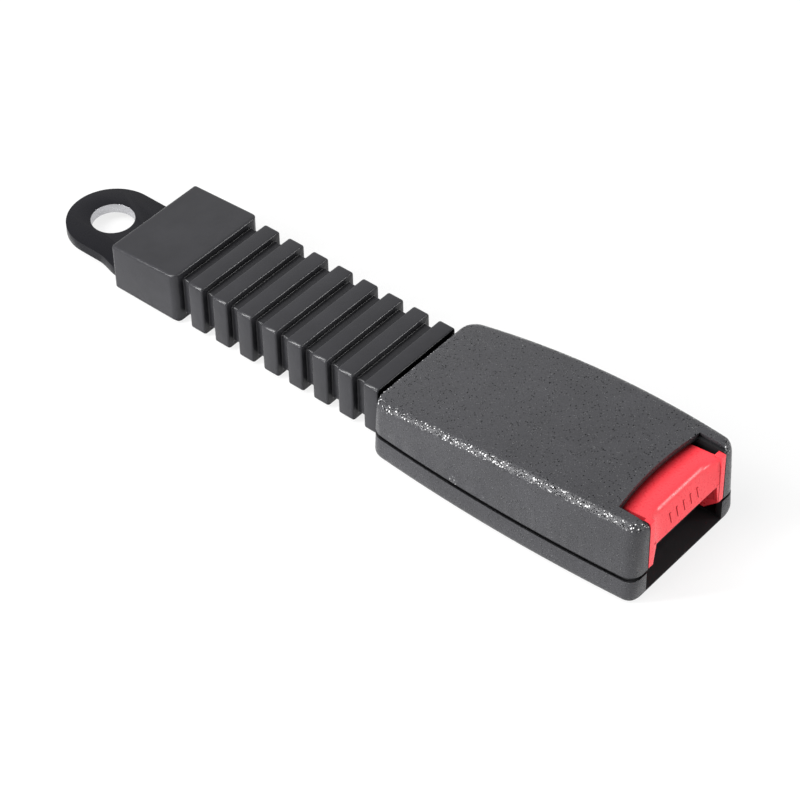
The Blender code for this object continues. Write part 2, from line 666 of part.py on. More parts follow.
def cover_stations(start, end, rear_radius, front_radius):
    """Stations along a cover, close together where its plan corners turn."""
    corner_steps = 5
    body_steps = 12
    rear = [start + rear_radius * (1 - math.cos(math.pi / 2 * index / corner_steps))
            for index in range(corner_steps + 1)]
    front = [end - front_radius * (1 - math.cos(math.pi / 2 * index / corner_steps))
             for index in range(corner_steps, -1, -1)]
    gap = front[0] - rear[-1]
    body = [rear[-1] + gap * index / body_steps for index in range(1, body_steps)]
    return rear + body + front


def upper_block(name, inset, low, collection):
    """The upper cover's outer form, or its cavity when inset by the wall."""
    start = BUCKLE_START + inset
    end = BUCKLE_END - inset
    rear_radius = max(REAR_CORNER - inset, SMALLEST_CORNER)
    front_radius = max(FRONT_CORNER - inset, SMALLEST_CORNER)
    edge = max(TOP_EDGE - inset, SMALLEST_CORNER * 0.4)
    rear_edge = max(REAR_TOP_EDGE - inset, SMALLEST_CORNER * 0.2)
    front_edge = max(FRONT_TOP_EDGE - inset, SMALLEST_CORNER * 0.5)
    sections = []
    for station in cover_stations(start, end, rear_radius, front_radius):
        pull = edge_drop(station - start, rear_radius) + edge_drop(end - station, front_radius)
        top = cover_top_at(station) - inset
        top -= edge_drop(station - start, rear_edge) + edge_drop(end - station, front_edge)
        half_low = half_width_at(station, low) - inset - pull
        half_top = half_width_at(station, top) - inset - pull
        side = [(half_low, low)] + arc((half_top - edge, top - edge), edge, 0, 90, 4)
        profile = side + [(-across, height) for across, height in reversed(side)]
        sections.append([(at(station), across, height) for across, height in profile])
    return loft(name, sections, collection)


def lower_block(name, inset, high, collection):
    """The lower cover's outer form, or its cavity when inset by the wall."""
    start = BUCKLE_START + inset
    end = BUCKLE_END - LOWER_SETBACK - inset
    rear_radius = max(REAR_CORNER - inset, SMALLEST_CORNER)
    front_radius = max(FRONT_CORNER - inset, SMALLEST_CORNER)
    edge = max(BOTTOM_EDGE - inset, SMALLEST_CORNER * 0.5)
    end_edge = edge * 0.6
    sections = []
    for station in cover_stations(start, end, rear_radius, front_radius):
        pull = edge_drop(station - start, rear_radius) + edge_drop(end - station, front_radius)
        floor = inset + edge_drop(station - start, end_edge) + edge_drop(end - station, end_edge)
        half_floor = half_width_at(station, 0.0) - inset - pull
        half_high = half_width_at(station, high) - inset - pull
        side = arc((half_floor - edge, floor + edge), edge, -90, 0, 4) + [(half_high, high)]
        profile = side + [(-across, height) for across, height in reversed(side)]
        sections.append([(at(station), across, height) for across, height in profile])
    return loft(name, sections, collection)


def notch_outline():
    """Plan of the notch for the button: straight sides and a rear edge that bows to the rear."""
    steps = 12
    front = BUCKLE_END + CUT_MARGIN
    points = [(front, -MOUTH_HALF_WIDTH), (front, MOUTH_HALF_WIDTH)]
    for index in range(steps + 1):
        share = 1 - 2 * index / steps
        points.append((BUCKLE_END - NOTCH_DEPTH - NOTCH_BOW * (1 - share ** 2), MOUTH_HALF_WIDTH * share))
    return points


def build_upper_cover(parts, tools, material):
    low = PARTING_HEIGHT + PARTING_GROOVE / 2
    cover = upper_block("upper_cover", 0.0, low, parts)
    cut(cover, upper_block("upper_cavity", COVER_WALL, low - CUT_MARGIN, tools))
    notch_top = BUCKLE_FRONT_HEIGHT + BUCKLE_ARCH + CUT_MARGIN
    cut(cover, outline_solid("button_notch", [notch_outline()], low - 2 * CUT_MARGIN, notch_top, tools))
    add_button_rails(cover, tools, low)
    add_hold_down_ribs(cover, tools)
    add_spring_stops(cover, tools)
    cut(cover, neck_opening("upper_neck_opening", tools))
    finish(cover, material)


def add_button_rails(cover, tools, low):
    """Two walls beside the notch that the button slides between."""
    for side, name in ((-1, "right"), (1, "left")):
        inner = side * MOUTH_HALF_WIDTH
        outer = side * (MOUTH_HALF_WIDTH + RAIL_WALL)
        rear = BUTTON_WING_REAR + BUTTON_TRAVEL
        front = BUCKLE_END - RAIL_SETBACK
        bend = BUCKLE_END - FRONT_TOP_EDGE
        foot = low + PARTING_GROOVE / 2
        profile = [(rear, foot), (front, foot), (front, cover_top_at(BUCKLE_END) - FRONT_TOP_EDGE),
                   (bend, cover_top_at(bend) - COVER_WALL * 0.5), (rear, cover_top_at(rear) - COVER_WALL * 0.5)]
        rail = outline_solid(f"button_rail_{name}", [profile], min(inner, outer), max(inner, outer), tools,
                             side_view=True)
        join(cover, rail)


def add_hold_down_ribs(cover, tools):
    """Cross ribs under the top that hold the steel frame down on the lower cover."""
    for index, station in enumerate((FRAME_START + HOLD_DOWN_SETBACK, SADDLE_STATION + HOLD_DOWN_SETBACK)):
        for side, name in ((-1, "right"), (1, "left")):
            inner = side * (FRAME_INNER_WIDTH / 2 + SEAT_GAP)
            outer = side * (half_width_at(station, FRAME_TOP) - COVER_WALL * 0.6)
            rib = box(f"hold_down_rib_{name}_{index}", (station, station + RIB_WALL),
                      (min(inner, outer), max(inner, outer)),
                      (FRAME_TOP + SEAT_GAP, cover_top_at(station) - COVER_WALL * 0.6), tools)
            join(cover, rib)


def add_spring_stops(cover, tools):
    """A rib behind each button spring, hung from the top of the cover."""
    for side, name in ((-1, "right"), (1, "left")):
        middle = side * BUTTON_SPRING_OFFSET
        half = BUTTON_SPRING_RADIUS + SPRING_SEAT_MARGIN
        rib = box(f"spring_stop_{name}", (SPRING_STOP, SPRING_STOP + SPRING_STOP_WALL),
                  (middle - half, middle + half),
                  (BUTTON_SPRING_HEIGHT - half, cover_top_at(SPRING_STOP) - COVER_WALL * 0.6), tools)
        join(cover, rib)


def neck_opening(name, tools):
    """Opening in the rear wall of both covers for the sleeve's neck."""
    half_width = NECK_WIDTH / 2 + SEAT_GAP
    half_height = NECK_HEIGHT / 2 + SEAT_GAP
    start = BUCKLE_START - CUT_MARGIN
    end = BUCKLE_START + COVER_WALL + SEAT_GAP / 2
    top_corner = SLEEVE_TOP_CORNER + SEAT_GAP
    bottom_corner = SLEEVE_BOTTOM_CORNER + SEAT_GAP
    return loft(name, [section_at(station, half_width, half_height, SLEEVE_MIDDLE, top_corner, bottom_corner)
                       for station in (start, end)], tools)


def build_lower_cover(parts, tools, material):
    high = PARTING_HEIGHT - PARTING_GROOVE / 2
    cover = lower_block("lower_cover", 0.0, high, parts)
    join(cover, lower_block("rabbet_rim", RABBET_DEPTH, high + PARTING_GROOVE - SEAT_GAP, tools))
    cut(cover, lower_block("lower_cavity", COVER_WALL, high + PARTING_GROOVE + CUT_MARGIN, tools))
    mouth = box("lower_mouth", (BUCKLE_END - MOUTH_FLOOR_LENGTH, BUCKLE_END + CUT_MARGIN),
                (-MOUTH_HALF_WIDTH, MOUTH_HALF_WIDTH), (MOUTH_FLOOR, high + PARTING_GROOVE + CUT_MARGIN), tools)
    cut(cover, mouth)
    add_frame_rests(cover, tools)
    cut(cover, neck_opening("lower_neck_opening", tools))
    finish(cover, material)


def add_frame_rests(cover, tools):
    """Cross ribs on the floor that carry the steel frame, each with an upright beside the flange."""
    rests = (SADDLE_STATION + HOLD_DOWN_SETBACK, LATCH_PIVOT + PIN_HEAD_DIAMETER, FRAME_END - GUIDE_LENGTH)
    for index, station in enumerate(rests):
        rest = box(f"frame_rest_{index}", (station, station + RIB_WALL), (-FRAME_HALF_WIDTH, FRAME_HALF_WIDTH),
                   (COVER_WALL * 0.5, FRAME_UNDERSIDE - SEAT_GAP), tools)
        join(cover, rest)
    for index, station in enumerate((SADDLE_STATION, BRIDGE_START)):
        for side, name in ((-1, "right"), (1, "left")):
            inner = side * (FRAME_HALF_WIDTH + SEAT_GAP)
            outer = side * (FRAME_HALF_WIDTH + SEAT_GAP + RIB_WALL)
            guide = box(f"frame_guide_{name}_{index}", (station, station + GUIDE_POST_LENGTH),
                        (min(inner, outer), max(inner, outer)),
                        (COVER_WALL * 0.5, PARTING_HEIGHT - PARTING_GROOVE), tools)
            join(cover, guide)


def build_frame(parts, tools, material):
    """Stamped channel: a floor that the tongue slides on and two flanges folded up beside it."""
    outer = FRAME_HALF_WIDTH
    inner = FRAME_INNER_WIDTH / 2
    bend = FRAME_BEND
    section = arc((outer - bend - FRAME_FLANGE_STEEL * 0.5, FRAME_UNDERSIDE + bend + FRAME_STEEL * 0.5),
                  bend + FRAME_FLANGE_STEEL * 0.5, -90, 0, 4)
    section += [(outer, FRAME_TOP), (inner, FRAME_TOP), (inner, FRAME_FLOOR)]
    profile = section + [(-across, height) for across, height in reversed(section)]
    frame = loft("buckle_frame", [[(at(station), across, height) for across, height in profile]
                                  for station in (FRAME_START, FRAME_END)], parts)
    underneath = FRAME_UNDERSIDE - CUT_MARGIN
    overhead = FRAME_FLOOR + CUT_MARGIN
    saddle_hole = rod("saddle_hole", RIVET_DIAMETER / 2 + SEAT_GAP, (at(SADDLE_STATION), 0, underneath),
                      (at(SADDLE_STATION), 0, overhead), tools, sides=24)
    cut(frame, saddle_hole)
    window_start = LATCH_NOSE - LATCH_WINDOW_SETBACK
    window_half = LATCH_WIDTH / 2 + CUT_MARGIN
    window = box("latch_window", (window_start, window_start + LATCH_WINDOW_LENGTH),
                 (-window_half, window_half), (underneath, overhead), tools)
    cut(frame, window)
    pin_hole = rod("pin_hole", PIN_DIAMETER / 2 + SEAT_GAP,
                   (at(LATCH_PIVOT), -outer - CUT_MARGIN, LATCH_PIVOT_HEIGHT),
                   (at(LATCH_PIVOT), outer + CUT_MARGIN, LATCH_PIVOT_HEIGHT), tools, sides=24)
    cut(frame, frame_relief("rear_relief", tools))
    ear_radius = PIN_DIAMETER / 2 + SEAT_GAP + PIVOT_EAR_WALL
    ear = rod("pivot_ear", ear_radius, (at(LATCH_PIVOT), -outer, LATCH_PIVOT_HEIGHT),
              (at(LATCH_PIVOT), outer, LATCH_PIVOT_HEIGHT), tools, sides=24)
    ear_gap = box("pivot_ear_gap", (LATCH_PIVOT - 2 * ear_radius, LATCH_PIVOT + 2 * ear_radius),
                  (-inner, inner), (FRAME_FLOOR, FRAME_TOP + 2 * ear_radius), tools)
    cut(ear, ear_gap)
    join(frame, ear)
    cut(frame, pin_hole)
    tab = box("spring_stop_tab", (STOP_TAB_FACE - STOP_TAB_STEEL, STOP_TAB_FACE),
              (-STOP_TAB_WIDTH / 2, STOP_TAB_WIDTH / 2),
              (FRAME_UNDERSIDE + FRAME_STEEL / 2, FRAME_FLOOR + STOP_TAB_HEIGHT), tools)
    join(frame, tab)
    finish(frame, material)


def frame_relief(name, tools):
    """Slope at the rear end of both flanges, seen from the side."""
    rear = FRAME_START - CUT_MARGIN
    high = FRAME_TOP + CUT_MARGIN
    profile = [(rear, high), (rear, FRAME_TOP - FRAME_RELIEF_DEPTH), (FRAME_START + FRAME_RELIEF_LENGTH, high)]
    reach = FRAME_HALF_WIDTH + CUT_MARGIN
    return outline_solid(name, [profile], -reach, reach, tools, side_view=True)


def build_saddle(parts, tools, material):
    """Grooved spool that the rope turns round, held to the frame by its rivet."""
    core = ROPE_SADDLE_TURN / 2 - ROPE_DIAMETER / 2 - SEAT_GAP
    foot = FRAME_FLOOR + SEAT_GAP
    top = ROPE_HEIGHT + (ROPE_HEIGHT - foot)
    flange_radius = ROPE_SADDLE_TURN / 2
    floor_lip = ROPE_HEIGHT - ROPE_DIAMETER / 2 - SEAT_GAP
    ceiling_lip = ROPE_HEIGHT + ROPE_DIAMETER / 2 + SEAT_GAP
    profile = [(RIVET_DIAMETER / 2 + SEAT_GAP, top), (flange_radius, top), (flange_radius, ceiling_lip),
               (core, ceiling_lip), (core, floor_lip), (flange_radius, floor_lip), (flange_radius, foot),
               (RIVET_DIAMETER / 2 + SEAT_GAP, foot), (RIVET_DIAMETER / 2 + SEAT_GAP, top)]
    turned("cable_saddle", profile, (at(SADDLE_STATION), 0.0, 0.0), parts, material, steps=32)


def build_saddle_rivet(parts, material):
    foot = FRAME_UNDERSIDE - SEAT_GAP
    saddle_foot = FRAME_FLOOR + SEAT_GAP
    seat = ROPE_HEIGHT + (ROPE_HEIGHT - saddle_foot) + SEAT_GAP
    shank = RIVET_DIAMETER / 2
    head = RIVET_HEAD_DIAMETER / 2
    top = seat + RIVET_HEAD_HEIGHT
    low = foot - RIVET_HEAD_HEIGHT * 0.8
    profile = [*rivet_head(top, seat), (shank, seat), (shank, foot), (head, foot),
               (head * 0.9, low + PIN_HEAD_EDGE), (head * 0.8, low), (0.0, low)]
    turned("saddle_rivet", profile, (at(SADDLE_STATION), 0.0, 0.0), parts, material)


def build_guide(parts, material):
    """Bar across the mouth that closes the top of the tongue slot, capped over the flanges."""
    inner = FRAME_INNER_WIDTH / 2 - SEAT_GAP
    body_top = FRAME_TOP + SEAT_GAP
    section = [(inner, LATCH_UNDERSIDE), (inner, body_top), (FRAME_HALF_WIDTH, body_top),
               (FRAME_HALF_WIDTH, body_top + GUIDE_CAP)]
    profile = section + [(-across, height) for across, height in reversed(section)]
    start = FRAME_END - GUIDE_LENGTH
    guide = loft("tongue_guide", [[(at(station), across, height) for across, height in profile]
                                  for station in (start, FRAME_END)], parts)
    finish(guide, material)


def build_latch(parts, tools, material):
    """Pressed steel latch: an eye on the pin, a nose that drops in the tongue and a lip for the button."""
    eye = PIN_DIAMETER / 2 + SEAT_GAP + LATCH_EYE_WALL
    top = LATCH_UNDERSIDE + LATCH_STEEL
    nose_end = LATCH_NOSE + LATCH_NOSE_LENGTH
    nose_foot = FRAME_FLOOR + SEAT_GAP
    lip_low = top + LATCH_LIP_RISE - LATCH_STEEL * 0.8
    lip_top = top + LATCH_LIP_RISE
    corner = LATCH_CORNER
    outline = [
        (LATCH_PIVOT, LATCH_PIVOT_HEIGHT + eye),
        *arc((LATCH_PIVOT, LATCH_PIVOT_HEIGHT), eye, 100, 300, 12),
        (LATCH_PIVOT + eye * 0.9, LATCH_UNDERSIDE),
        (LATCH_NOSE, LATCH_UNDERSIDE),
        (LATCH_NOSE, nose_foot + corner),
        (LATCH_NOSE + corner, nose_foot),
        (nose_end, nose_foot + LATCH_NOSE_RISE),
        (nose_end, top - corner),
        (nose_end + corner, lip_low),
        (nose_end + LATCH_LIP_LENGTH, lip_low),
        (nose_end + LATCH_LIP_LENGTH, lip_top),
        (nose_end - LATCH_STEEL * 0.5, lip_top),
        (nose_end - LATCH_STEEL, top),
        (LATCH_PIVOT + eye * 1.5, top),
    ]
    latch = outline_solid("latch", [outline], -LATCH_WIDTH / 2, LATCH_WIDTH / 2, tools, side_view=True)
    tools.objects.unlink(latch)
    parts.objects.link(latch)
    bore = rod("latch_bore", PIN_DIAMETER / 2 + SEAT_GAP, (at(LATCH_PIVOT), -LATCH_WIDTH, LATCH_PIVOT_HEIGHT),
               (at(LATCH_PIVOT), LATCH_WIDTH, LATCH_PIVOT_HEIGHT), tools, sides=24)
    cut(latch, bore)
    move_origin(latch, (at(LATCH_PIVOT), 0.0, LATCH_PIVOT_HEIGHT))
    finish(latch, material)


def move_origin(item, place):
    """Put the object's origin on its joint without moving its mesh in the world."""
    item.data.transform(Matrix.Translation([-value for value in place]))
    item.location = place


def build_pivot_pin(parts, material):
    """Pin through both flanges, with a formed head outside each."""
    reach = FRAME_HALF_WIDTH + SEAT_GAP
    shank = PIN_DIAMETER / 2
    head = PIN_HEAD_DIAMETER / 2
    end = reach + PIN_HEAD
    half = [(0.0, end), (head * 0.8, end), (head, end - PIN_HEAD_EDGE), (head, reach), (shank, reach)]
    profile = half + [(radius, -height) for radius, height in reversed(half)]
    pin = turned("latch_pivot_pin", profile, (at(LATCH_PIVOT), 0.0, LATCH_PIVOT_HEIGHT), parts, material)
    pin.rotation_euler = (math.pi / 2, 0.0, 0.0)


def build_bridge(parts, material):
    """Raised steel strap over the latch, seated on both flanges, that its spring pushes against."""
    foot = FRAME_TOP + SEAT_GAP
    raised = foot + BRIDGE_RISE
    outer = FRAME_HALF_WIDTH
    step_out = FRAME_INNER_WIDTH / 2 - BRIDGE_STEEL / 2
    step_in = step_out - BRIDGE_SLOPE
    steel = BRIDGE_STEEL
    section = [(outer, foot), (outer, foot + steel), (step_out, foot + steel), (step_in, raised + steel)]
    under = [(step_in - steel * 0.4, raised), (step_out - steel * 0.4, foot)]
    profile = section + [(-across, height) for across, height in reversed(section)]
    profile += [(-across, height) for across, height in reversed(under)] + under
    bridge = loft("spring_bridge", [[(at(station), across, height) for across, height in profile]
                                    for station in (BRIDGE_START, BRIDGE_START + BRIDGE_LENGTH)], parts)
    finish(bridge, material)


def build_ejector(parts, tools, material):
    """Slide that the tongue pushes back and that throws the tongue out again."""
    foot = FRAME_FLOOR + SEAT_GAP
    top = foot + EJECTOR_HEIGHT
    start = EJECTOR_FRONT - EJECTOR_LENGTH
    half = EJECTOR_WIDTH / 2
    ejector = box("ejector", (start, EJECTOR_FRONT), (-half, half), (foot, top), parts)
    socket_half = EJECTOR_SPRING_RADIUS + EJECTOR_SPRING_WIRE + CUT_MARGIN
    notch = box("ejector_notch", (start - CUT_MARGIN, start + EJECTOR_SOCKET), (-socket_half, socket_half),
                (foot - CUT_MARGIN, top + CUT_MARGIN), tools)
    cut(ejector, notch)
    finish(ejector, material)


def wing_profile():
    """Side view of a button wing, from its ear at the mouth back along the frame."""
    front = BUCKLE_END
    ear = BUTTON_EAR_EDGE
    ear_start = front - BUTTON_EAR_LENGTH
    return [(ear_start - ear, BUTTON_BROW_TOP - ear), (ear_start + ear, BUTTON_EAR_TOP),
            (front - ear, BUTTON_EAR_TOP), (front, BUTTON_EAR_TOP - ear),
            (front, BUTTON_WING_FOOT + BUTTON_WING_CHAMFER), (front - BUTTON_WING_CHAMFER, BUTTON_WING_FOOT),
            (BUTTON_WING_REAR, BUTTON_WING_FOOT), (BUTTON_WING_REAR, BUTTON_WING_FOOT + BUTTON_WING_HEIGHT),
            (BUTTON_REAR + BUTTON_WALL, BUTTON_REAR_TOP - BUTTON_FACE_WALL),
            (BUTTON_REAR + 2 * BUTTON_WALL, BUTTON_REAR_TOP - ear)]


def face_profile(across):
    """Side view of the button's body at this distance from the middle: the face flares out to the wings."""
    half = BUTTON_HALF_WIDTH - BUTTON_WALL / 2
    share = max(0.0, (abs(across) - BUTTON_FLARE_START) / (half - BUTTON_FLARE_START))
    flare = BUTTON_FLARE_REACH * share ** 2
    front = BUCKLE_END
    wall = BUTTON_FACE_WALL
    edge = BUTTON_FACE_EDGE
    rear_low = BUTTON_SPRING_HEIGHT - BUTTON_SPRING_RADIUS - SPRING_SEAT_MARGIN
    step = (BUTTON_STEP, BUTTON_STEP_TOP)
    brow = (BUTTON_BROW + flare, BUTTON_BROW_TOP)
    foot = (front - BUTTON_LIP_SETBACK, BUTTON_FACE_FOOT)
    inner_foot = (front - wall, BUTTON_FACE_FOOT)
    inner_brow = (BUTTON_BROW - wall, BUTTON_BROW_TOP - wall)
    return [
        (BUTTON_STEP - BUTTON_STEP_RUN, BUTTON_REAR_TOP), (BUTTON_REAR, BUTTON_REAR_TOP),
        (BUTTON_REAR, rear_low), (BUTTON_REAR + BUTTON_WALL, rear_low),
        (BUTTON_REAR + BUTTON_WALL, BUTTON_REAR_TOP - wall), inner_brow, inner_foot,
        *fillet(inner_foot, foot, brow, edge), *fillet(foot, brow, step, BUTTON_BROW_RADIUS, steps=5), step,
    ]


def build_button(parts, tools, material):
    """Red press button: sloped face under a brow, two side wings along the frame and a latch arm."""
    front = BUCKLE_END
    face_half = BUTTON_HALF_WIDTH - BUTTON_WALL / 2
    flare_steps = 4
    reach = [BUTTON_FLARE_START + (face_half - BUTTON_FLARE_START) * index / flare_steps
             for index in range(flare_steps + 1)]
    stations = [-across for across in reversed(reach)] + reach
    button = loft("press_button", [[(at(station), across, height) for station, height in face_profile(across)]
                                   for across in stations], parts)
    for side, name in ((-1, "right"), (1, "left")):
        outer = side * BUTTON_HALF_WIDTH
        inner = side * (BUTTON_HALF_WIDTH - BUTTON_WALL)
        wing = outline_solid(f"button_wing_{name}", [wing_profile()], min(inner, outer), max(inner, outer),
                             tools, side_view=True)
        join(button, wing)
        join(button, button_lip(f"button_lip_{name}", side, tools))
    arm_low = FRAME_TOP + SEAT_GAP + GUIDE_CAP + BUTTON_ARM_GAP
    arm_tip = LATCH_NOSE + LATCH_NOSE_LENGTH + LATCH_LIP_LENGTH + BUTTON_ARM_STEEP
    arm_front = front - BUTTON_FACE_WALL * 0.6
    arm = outline_solid("button_arm", [[
        (arm_tip, arm_low), (arm_front - BUTTON_FACE_WALL, arm_low),
        (arm_front, BUTTON_FACE_FOOT + BUTTON_ARM_GAP), (arm_front, BUTTON_FACE_FOOT + BUTTON_WALL),
        (arm_tip + BUTTON_ARM_STEEP, arm_low + BUTTON_ARM_STEEP)]],
        -LATCH_WIDTH / 4, LATCH_WIDTH / 4, tools, side_view=True)
    join(button, arm)
    finish(button, material)


def button_lip(name, side, tools):
    """Lip inside a wing at the mouth, wide under the face and narrow at its foot."""
    front = BUCKLE_END - BUTTON_LIP_SETBACK
    rear = front - BUTTON_LIP_DEPTH
    outer = side * (BUTTON_HALF_WIDTH - BUTTON_WALL / 2)
    levels = ((BUTTON_WING_FOOT + BUTTON_WING_CHAMFER, BUTTON_WALL * 1.1), (BUTTON_FACE_FOOT, BUTTON_LIP_WIDTH),
              (BUTTON_FACE_FOOT + 2 * BUTTON_FACE_EDGE, BUTTON_LIP_WIDTH))
    sections = []
    for height, width in levels:
        inner = side * (BUTTON_HALF_WIDTH - width)
        sections.append([(at(rear), outer, height), (at(front), outer, height), (at(front), inner, height),
                         (at(rear), inner, height)])
    return loft(name, sections, tools)


def spring_points(radius, length, turns):
    """Points of a coil along Z with closed end turns."""
    total = int(turns * SPRING_STEPS_PER_TURN)
    return [(radius * math.cos(2 * math.pi * index / SPRING_STEPS_PER_TURN),
             radius * math.sin(2 * math.pi * index / SPRING_STEPS_PER_TURN),
             length * index / total) for index in range(total + 1)]


def build_spring(name, start, direction, radius, length, turns, wire, parts, material):
    """A coil spring on an axis from start, made as a round wire along its helix."""
    curve = bpy.data.curves.new(name, "CURVE")
    curve.dimensions = "3D"
    curve.bevel_depth = wire / 2
    curve.bevel_resolution = 1
    curve.use_fill_caps = True
    coil = spring_points(radius, length, turns)
    spline = curve.splines.new("POLY")
    spline.points.add(len(coil) - 1)
    for point, place in zip(spline.points, coil):
        point.co = (*place, 1.0)
    drawn = bpy.data.objects.new(name + "_coil", curve)
    parts.objects.link(drawn)
    if direction == "X":
        drawn.rotation_euler = (0.0, math.pi / 2, 0.0)
    drawn.location = start
    spring = solid_from_curve(name, drawn, parts)
    finish(spring, material, 60.0)


def build_springs(parts, material):
    clear = SEAT_GAP + SPRING_WIRE / 2
    start = SPRING_STOP + SPRING_STOP_WALL + clear
    length = BUTTON_REAR - clear - start
    for side, name in ((-1, "right"), (1, "left")):
        place = (at(start), side * BUTTON_SPRING_OFFSET, BUTTON_SPRING_HEIGHT)
        build_spring(f"button_spring_{name}", place, "X", BUTTON_SPRING_RADIUS, length, 5, SPRING_WIRE, parts,
                     material)
    thin_clear = SEAT_GAP + EJECTOR_SPRING_WIRE / 2
    start = STOP_TAB_FACE + thin_clear
    length = EJECTOR_FRONT - EJECTOR_LENGTH + EJECTOR_SOCKET - thin_clear - start
    height = FRAME_FLOOR + SEAT_GAP + EJECTOR_SPRING_RADIUS + EJECTOR_SPRING_WIRE / 2
    build_spring("ejector_spring", (at(start), 0.0, height), "X", EJECTOR_SPRING_RADIUS, length, 10,
                 EJECTOR_SPRING_WIRE, parts, material)
    low = LATCH_UNDERSIDE + LATCH_STEEL + thin_clear
    high = FRAME_TOP + SEAT_GAP + BRIDGE_RISE - thin_clear
    build_spring("latch_spring", (at(BRIDGE_START + BRIDGE_LENGTH / 2), 0.0, low), "Z", LATCH_SPRING_RADIUS,
                 high - low, 2.5, EJECTOR_SPRING_WIRE, parts, material)


def main():
    clear_scene()
    parts = new_collection(COLLECTION_NAME)
    tools = new_collection("cutters")
    sleeve_plastic = new_material("sleeve_plastic", (0.035, 0.035, 0.038), 0.42, 0.0)
    cover_plastic = new_material("cover_plastic", (0.045, 0.045, 0.05), 0.5, 0.0)
    lower_plastic = new_material("lower_plastic", (0.045, 0.045, 0.05), 0.45, 0.0)
    black_steel = new_material("black_painted_steel", (0.015, 0.015, 0.017), 0.35, 0.6)
    plated_steel = new_material("plated_steel", (0.6, 0.6, 0.58), 0.35, 1.0)
    rope_steel = new_material("rope_steel", (0.5, 0.5, 0.5), 0.4, 1.0)
    crimp_metal = new_material("crimp_metal", (0.62, 0.62, 0.62), 0.45, 1.0)
    spring_steel = new_material("spring_steel", (0.55, 0.55, 0.55), 0.3, 1.0)
    guide_plastic = new_material("guide_plastic", (0.02, 0.02, 0.02), 0.5, 0.0)
    ejector_plastic = new_material("ejector_plastic", (0.75, 0.74, 0.7), 0.4, 0.0)
    button_red = new_material("button_red", (0.85, 0.05, 0.07), 0.38, 0.0)

    build_anchor_plate(parts, tools, black_steel)
    build_ferrule(parts, tools, crimp_metal)
    for name, station in zip(("ferrule_rivet_rear", "ferrule_rivet_front"), rivet_stations()):
        build_ferrule_rivet(name, station, parts, plated_steel)
    build_rope(parts, rope_steel)
    build_sleeve(parts, tools, sleeve_plastic)
    build_upper_cover(parts, tools, cover_plastic)
    build_lower_cover(parts, tools, lower_plastic)
    build_frame(parts, tools, plated_steel)
    build_saddle(parts, tools, plated_steel)
    build_saddle_rivet(parts, plated_steel)
    build_guide(parts, guide_plastic)
    build_latch(parts, tools, plated_steel)
    build_pivot_pin(parts, plated_steel)
    build_bridge(parts, plated_steel)
    build_ejector(parts, tools, ejector_plastic)
    build_button(parts, tools, button_red)
    build_springs(parts, spring_steel)


main()
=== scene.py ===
"""Looks of the seat belt extender: fine moulded surfaces, materials, soft studio light and the camera."""

import math

import bmesh
import bpy
from mathutils import Matrix, Vector


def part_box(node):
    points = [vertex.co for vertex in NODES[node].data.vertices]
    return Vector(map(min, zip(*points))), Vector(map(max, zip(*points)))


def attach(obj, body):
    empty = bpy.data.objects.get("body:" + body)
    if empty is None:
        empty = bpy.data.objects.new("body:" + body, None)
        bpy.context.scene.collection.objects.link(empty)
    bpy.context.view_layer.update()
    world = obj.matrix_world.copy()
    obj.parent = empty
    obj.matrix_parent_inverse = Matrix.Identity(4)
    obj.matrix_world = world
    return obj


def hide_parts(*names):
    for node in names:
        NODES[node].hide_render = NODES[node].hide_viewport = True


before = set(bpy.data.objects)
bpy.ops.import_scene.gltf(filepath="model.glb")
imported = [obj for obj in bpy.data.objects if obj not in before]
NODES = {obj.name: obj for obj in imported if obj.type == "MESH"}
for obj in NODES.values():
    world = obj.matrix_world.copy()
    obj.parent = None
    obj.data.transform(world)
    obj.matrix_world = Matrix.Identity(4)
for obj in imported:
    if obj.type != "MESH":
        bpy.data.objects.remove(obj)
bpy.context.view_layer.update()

MM = 0.001

# Places taken from the frame
PLATE_LOW, PLATE_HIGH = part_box("anchor_plate")
SLEEVE_LOW, SLEEVE_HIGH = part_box("ribbed_sleeve")
BUTTON_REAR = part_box("press_button")[0].x
FERRULE_LOW, FERRULE_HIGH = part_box("cable_ferrule")
LATCH_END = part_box("latch")[1].x
GUIDE_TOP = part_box("tongue_guide")[1].z

BUCKLE_START, BUCKLE_END = [corner.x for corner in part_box("upper_cover")]
BUCKLE_LENGTH = BUCKLE_END - BUCKLE_START
SLEEVE_START = SLEEVE_LOW.x
SLEEVE_LIFT = 0.5 * MM
SLEEVE_UNDERSIDE = SLEEVE_LOW.z + SLEEVE_LIFT
NECK_RISE = 7.85 * MM
NECK_MIDDLE = SLEEVE_LOW.z + NECK_RISE
EYE_RADIUS = 12.7 * MM
EYE_CENTRE = PLATE_LOW.x + EYE_RADIUS

# Forms of the mouldings
GAP = 0.3 * MM
BOLT_HOLE_RADIUS = 6.0 * MM
PLATE_BEVEL = 0.45 * MM
WORN_RIM = 0.3 * MM
SHEAR_MARGIN = 0.02 * MM
PLATE_FLARE_SETBACK = 9.0 * MM
PLATE_FLARE_END = 1.0 * MM
PLATE_FLARE_STEPS = 8
PLATE_TAIL_CORNER = 3.0 * MM
RIVET_ROOM_RADIUS = 3.5 * MM
RIVET_ROOM_DEPTH = 8.0 * MM
COLLAR_LENGTH = 23.0 * MM
COLLAR_WIDTH = 32.4 * MM
COLLAR_REAR_HEIGHT = 14.7 * MM
COLLAR_FRONT_HEIGHT = 16.0 * MM
COLLAR_CORNER = 2.4 * MM
COLLAR_REAR_CORNER = 0.9 * MM
COLLAR_EDGE = 0.7 * MM
COLLAR_BOW = 0.7 * MM
COLLAR_REAR_RUN = 1.6 * COLLAR_EDGE
COLLAR_REAR_SHARES = (0.0, 0.08, 0.2, 0.4, 0.7, 1.0)
RIB_COUNT = 8
RIB_LAND = 5.0 * MM
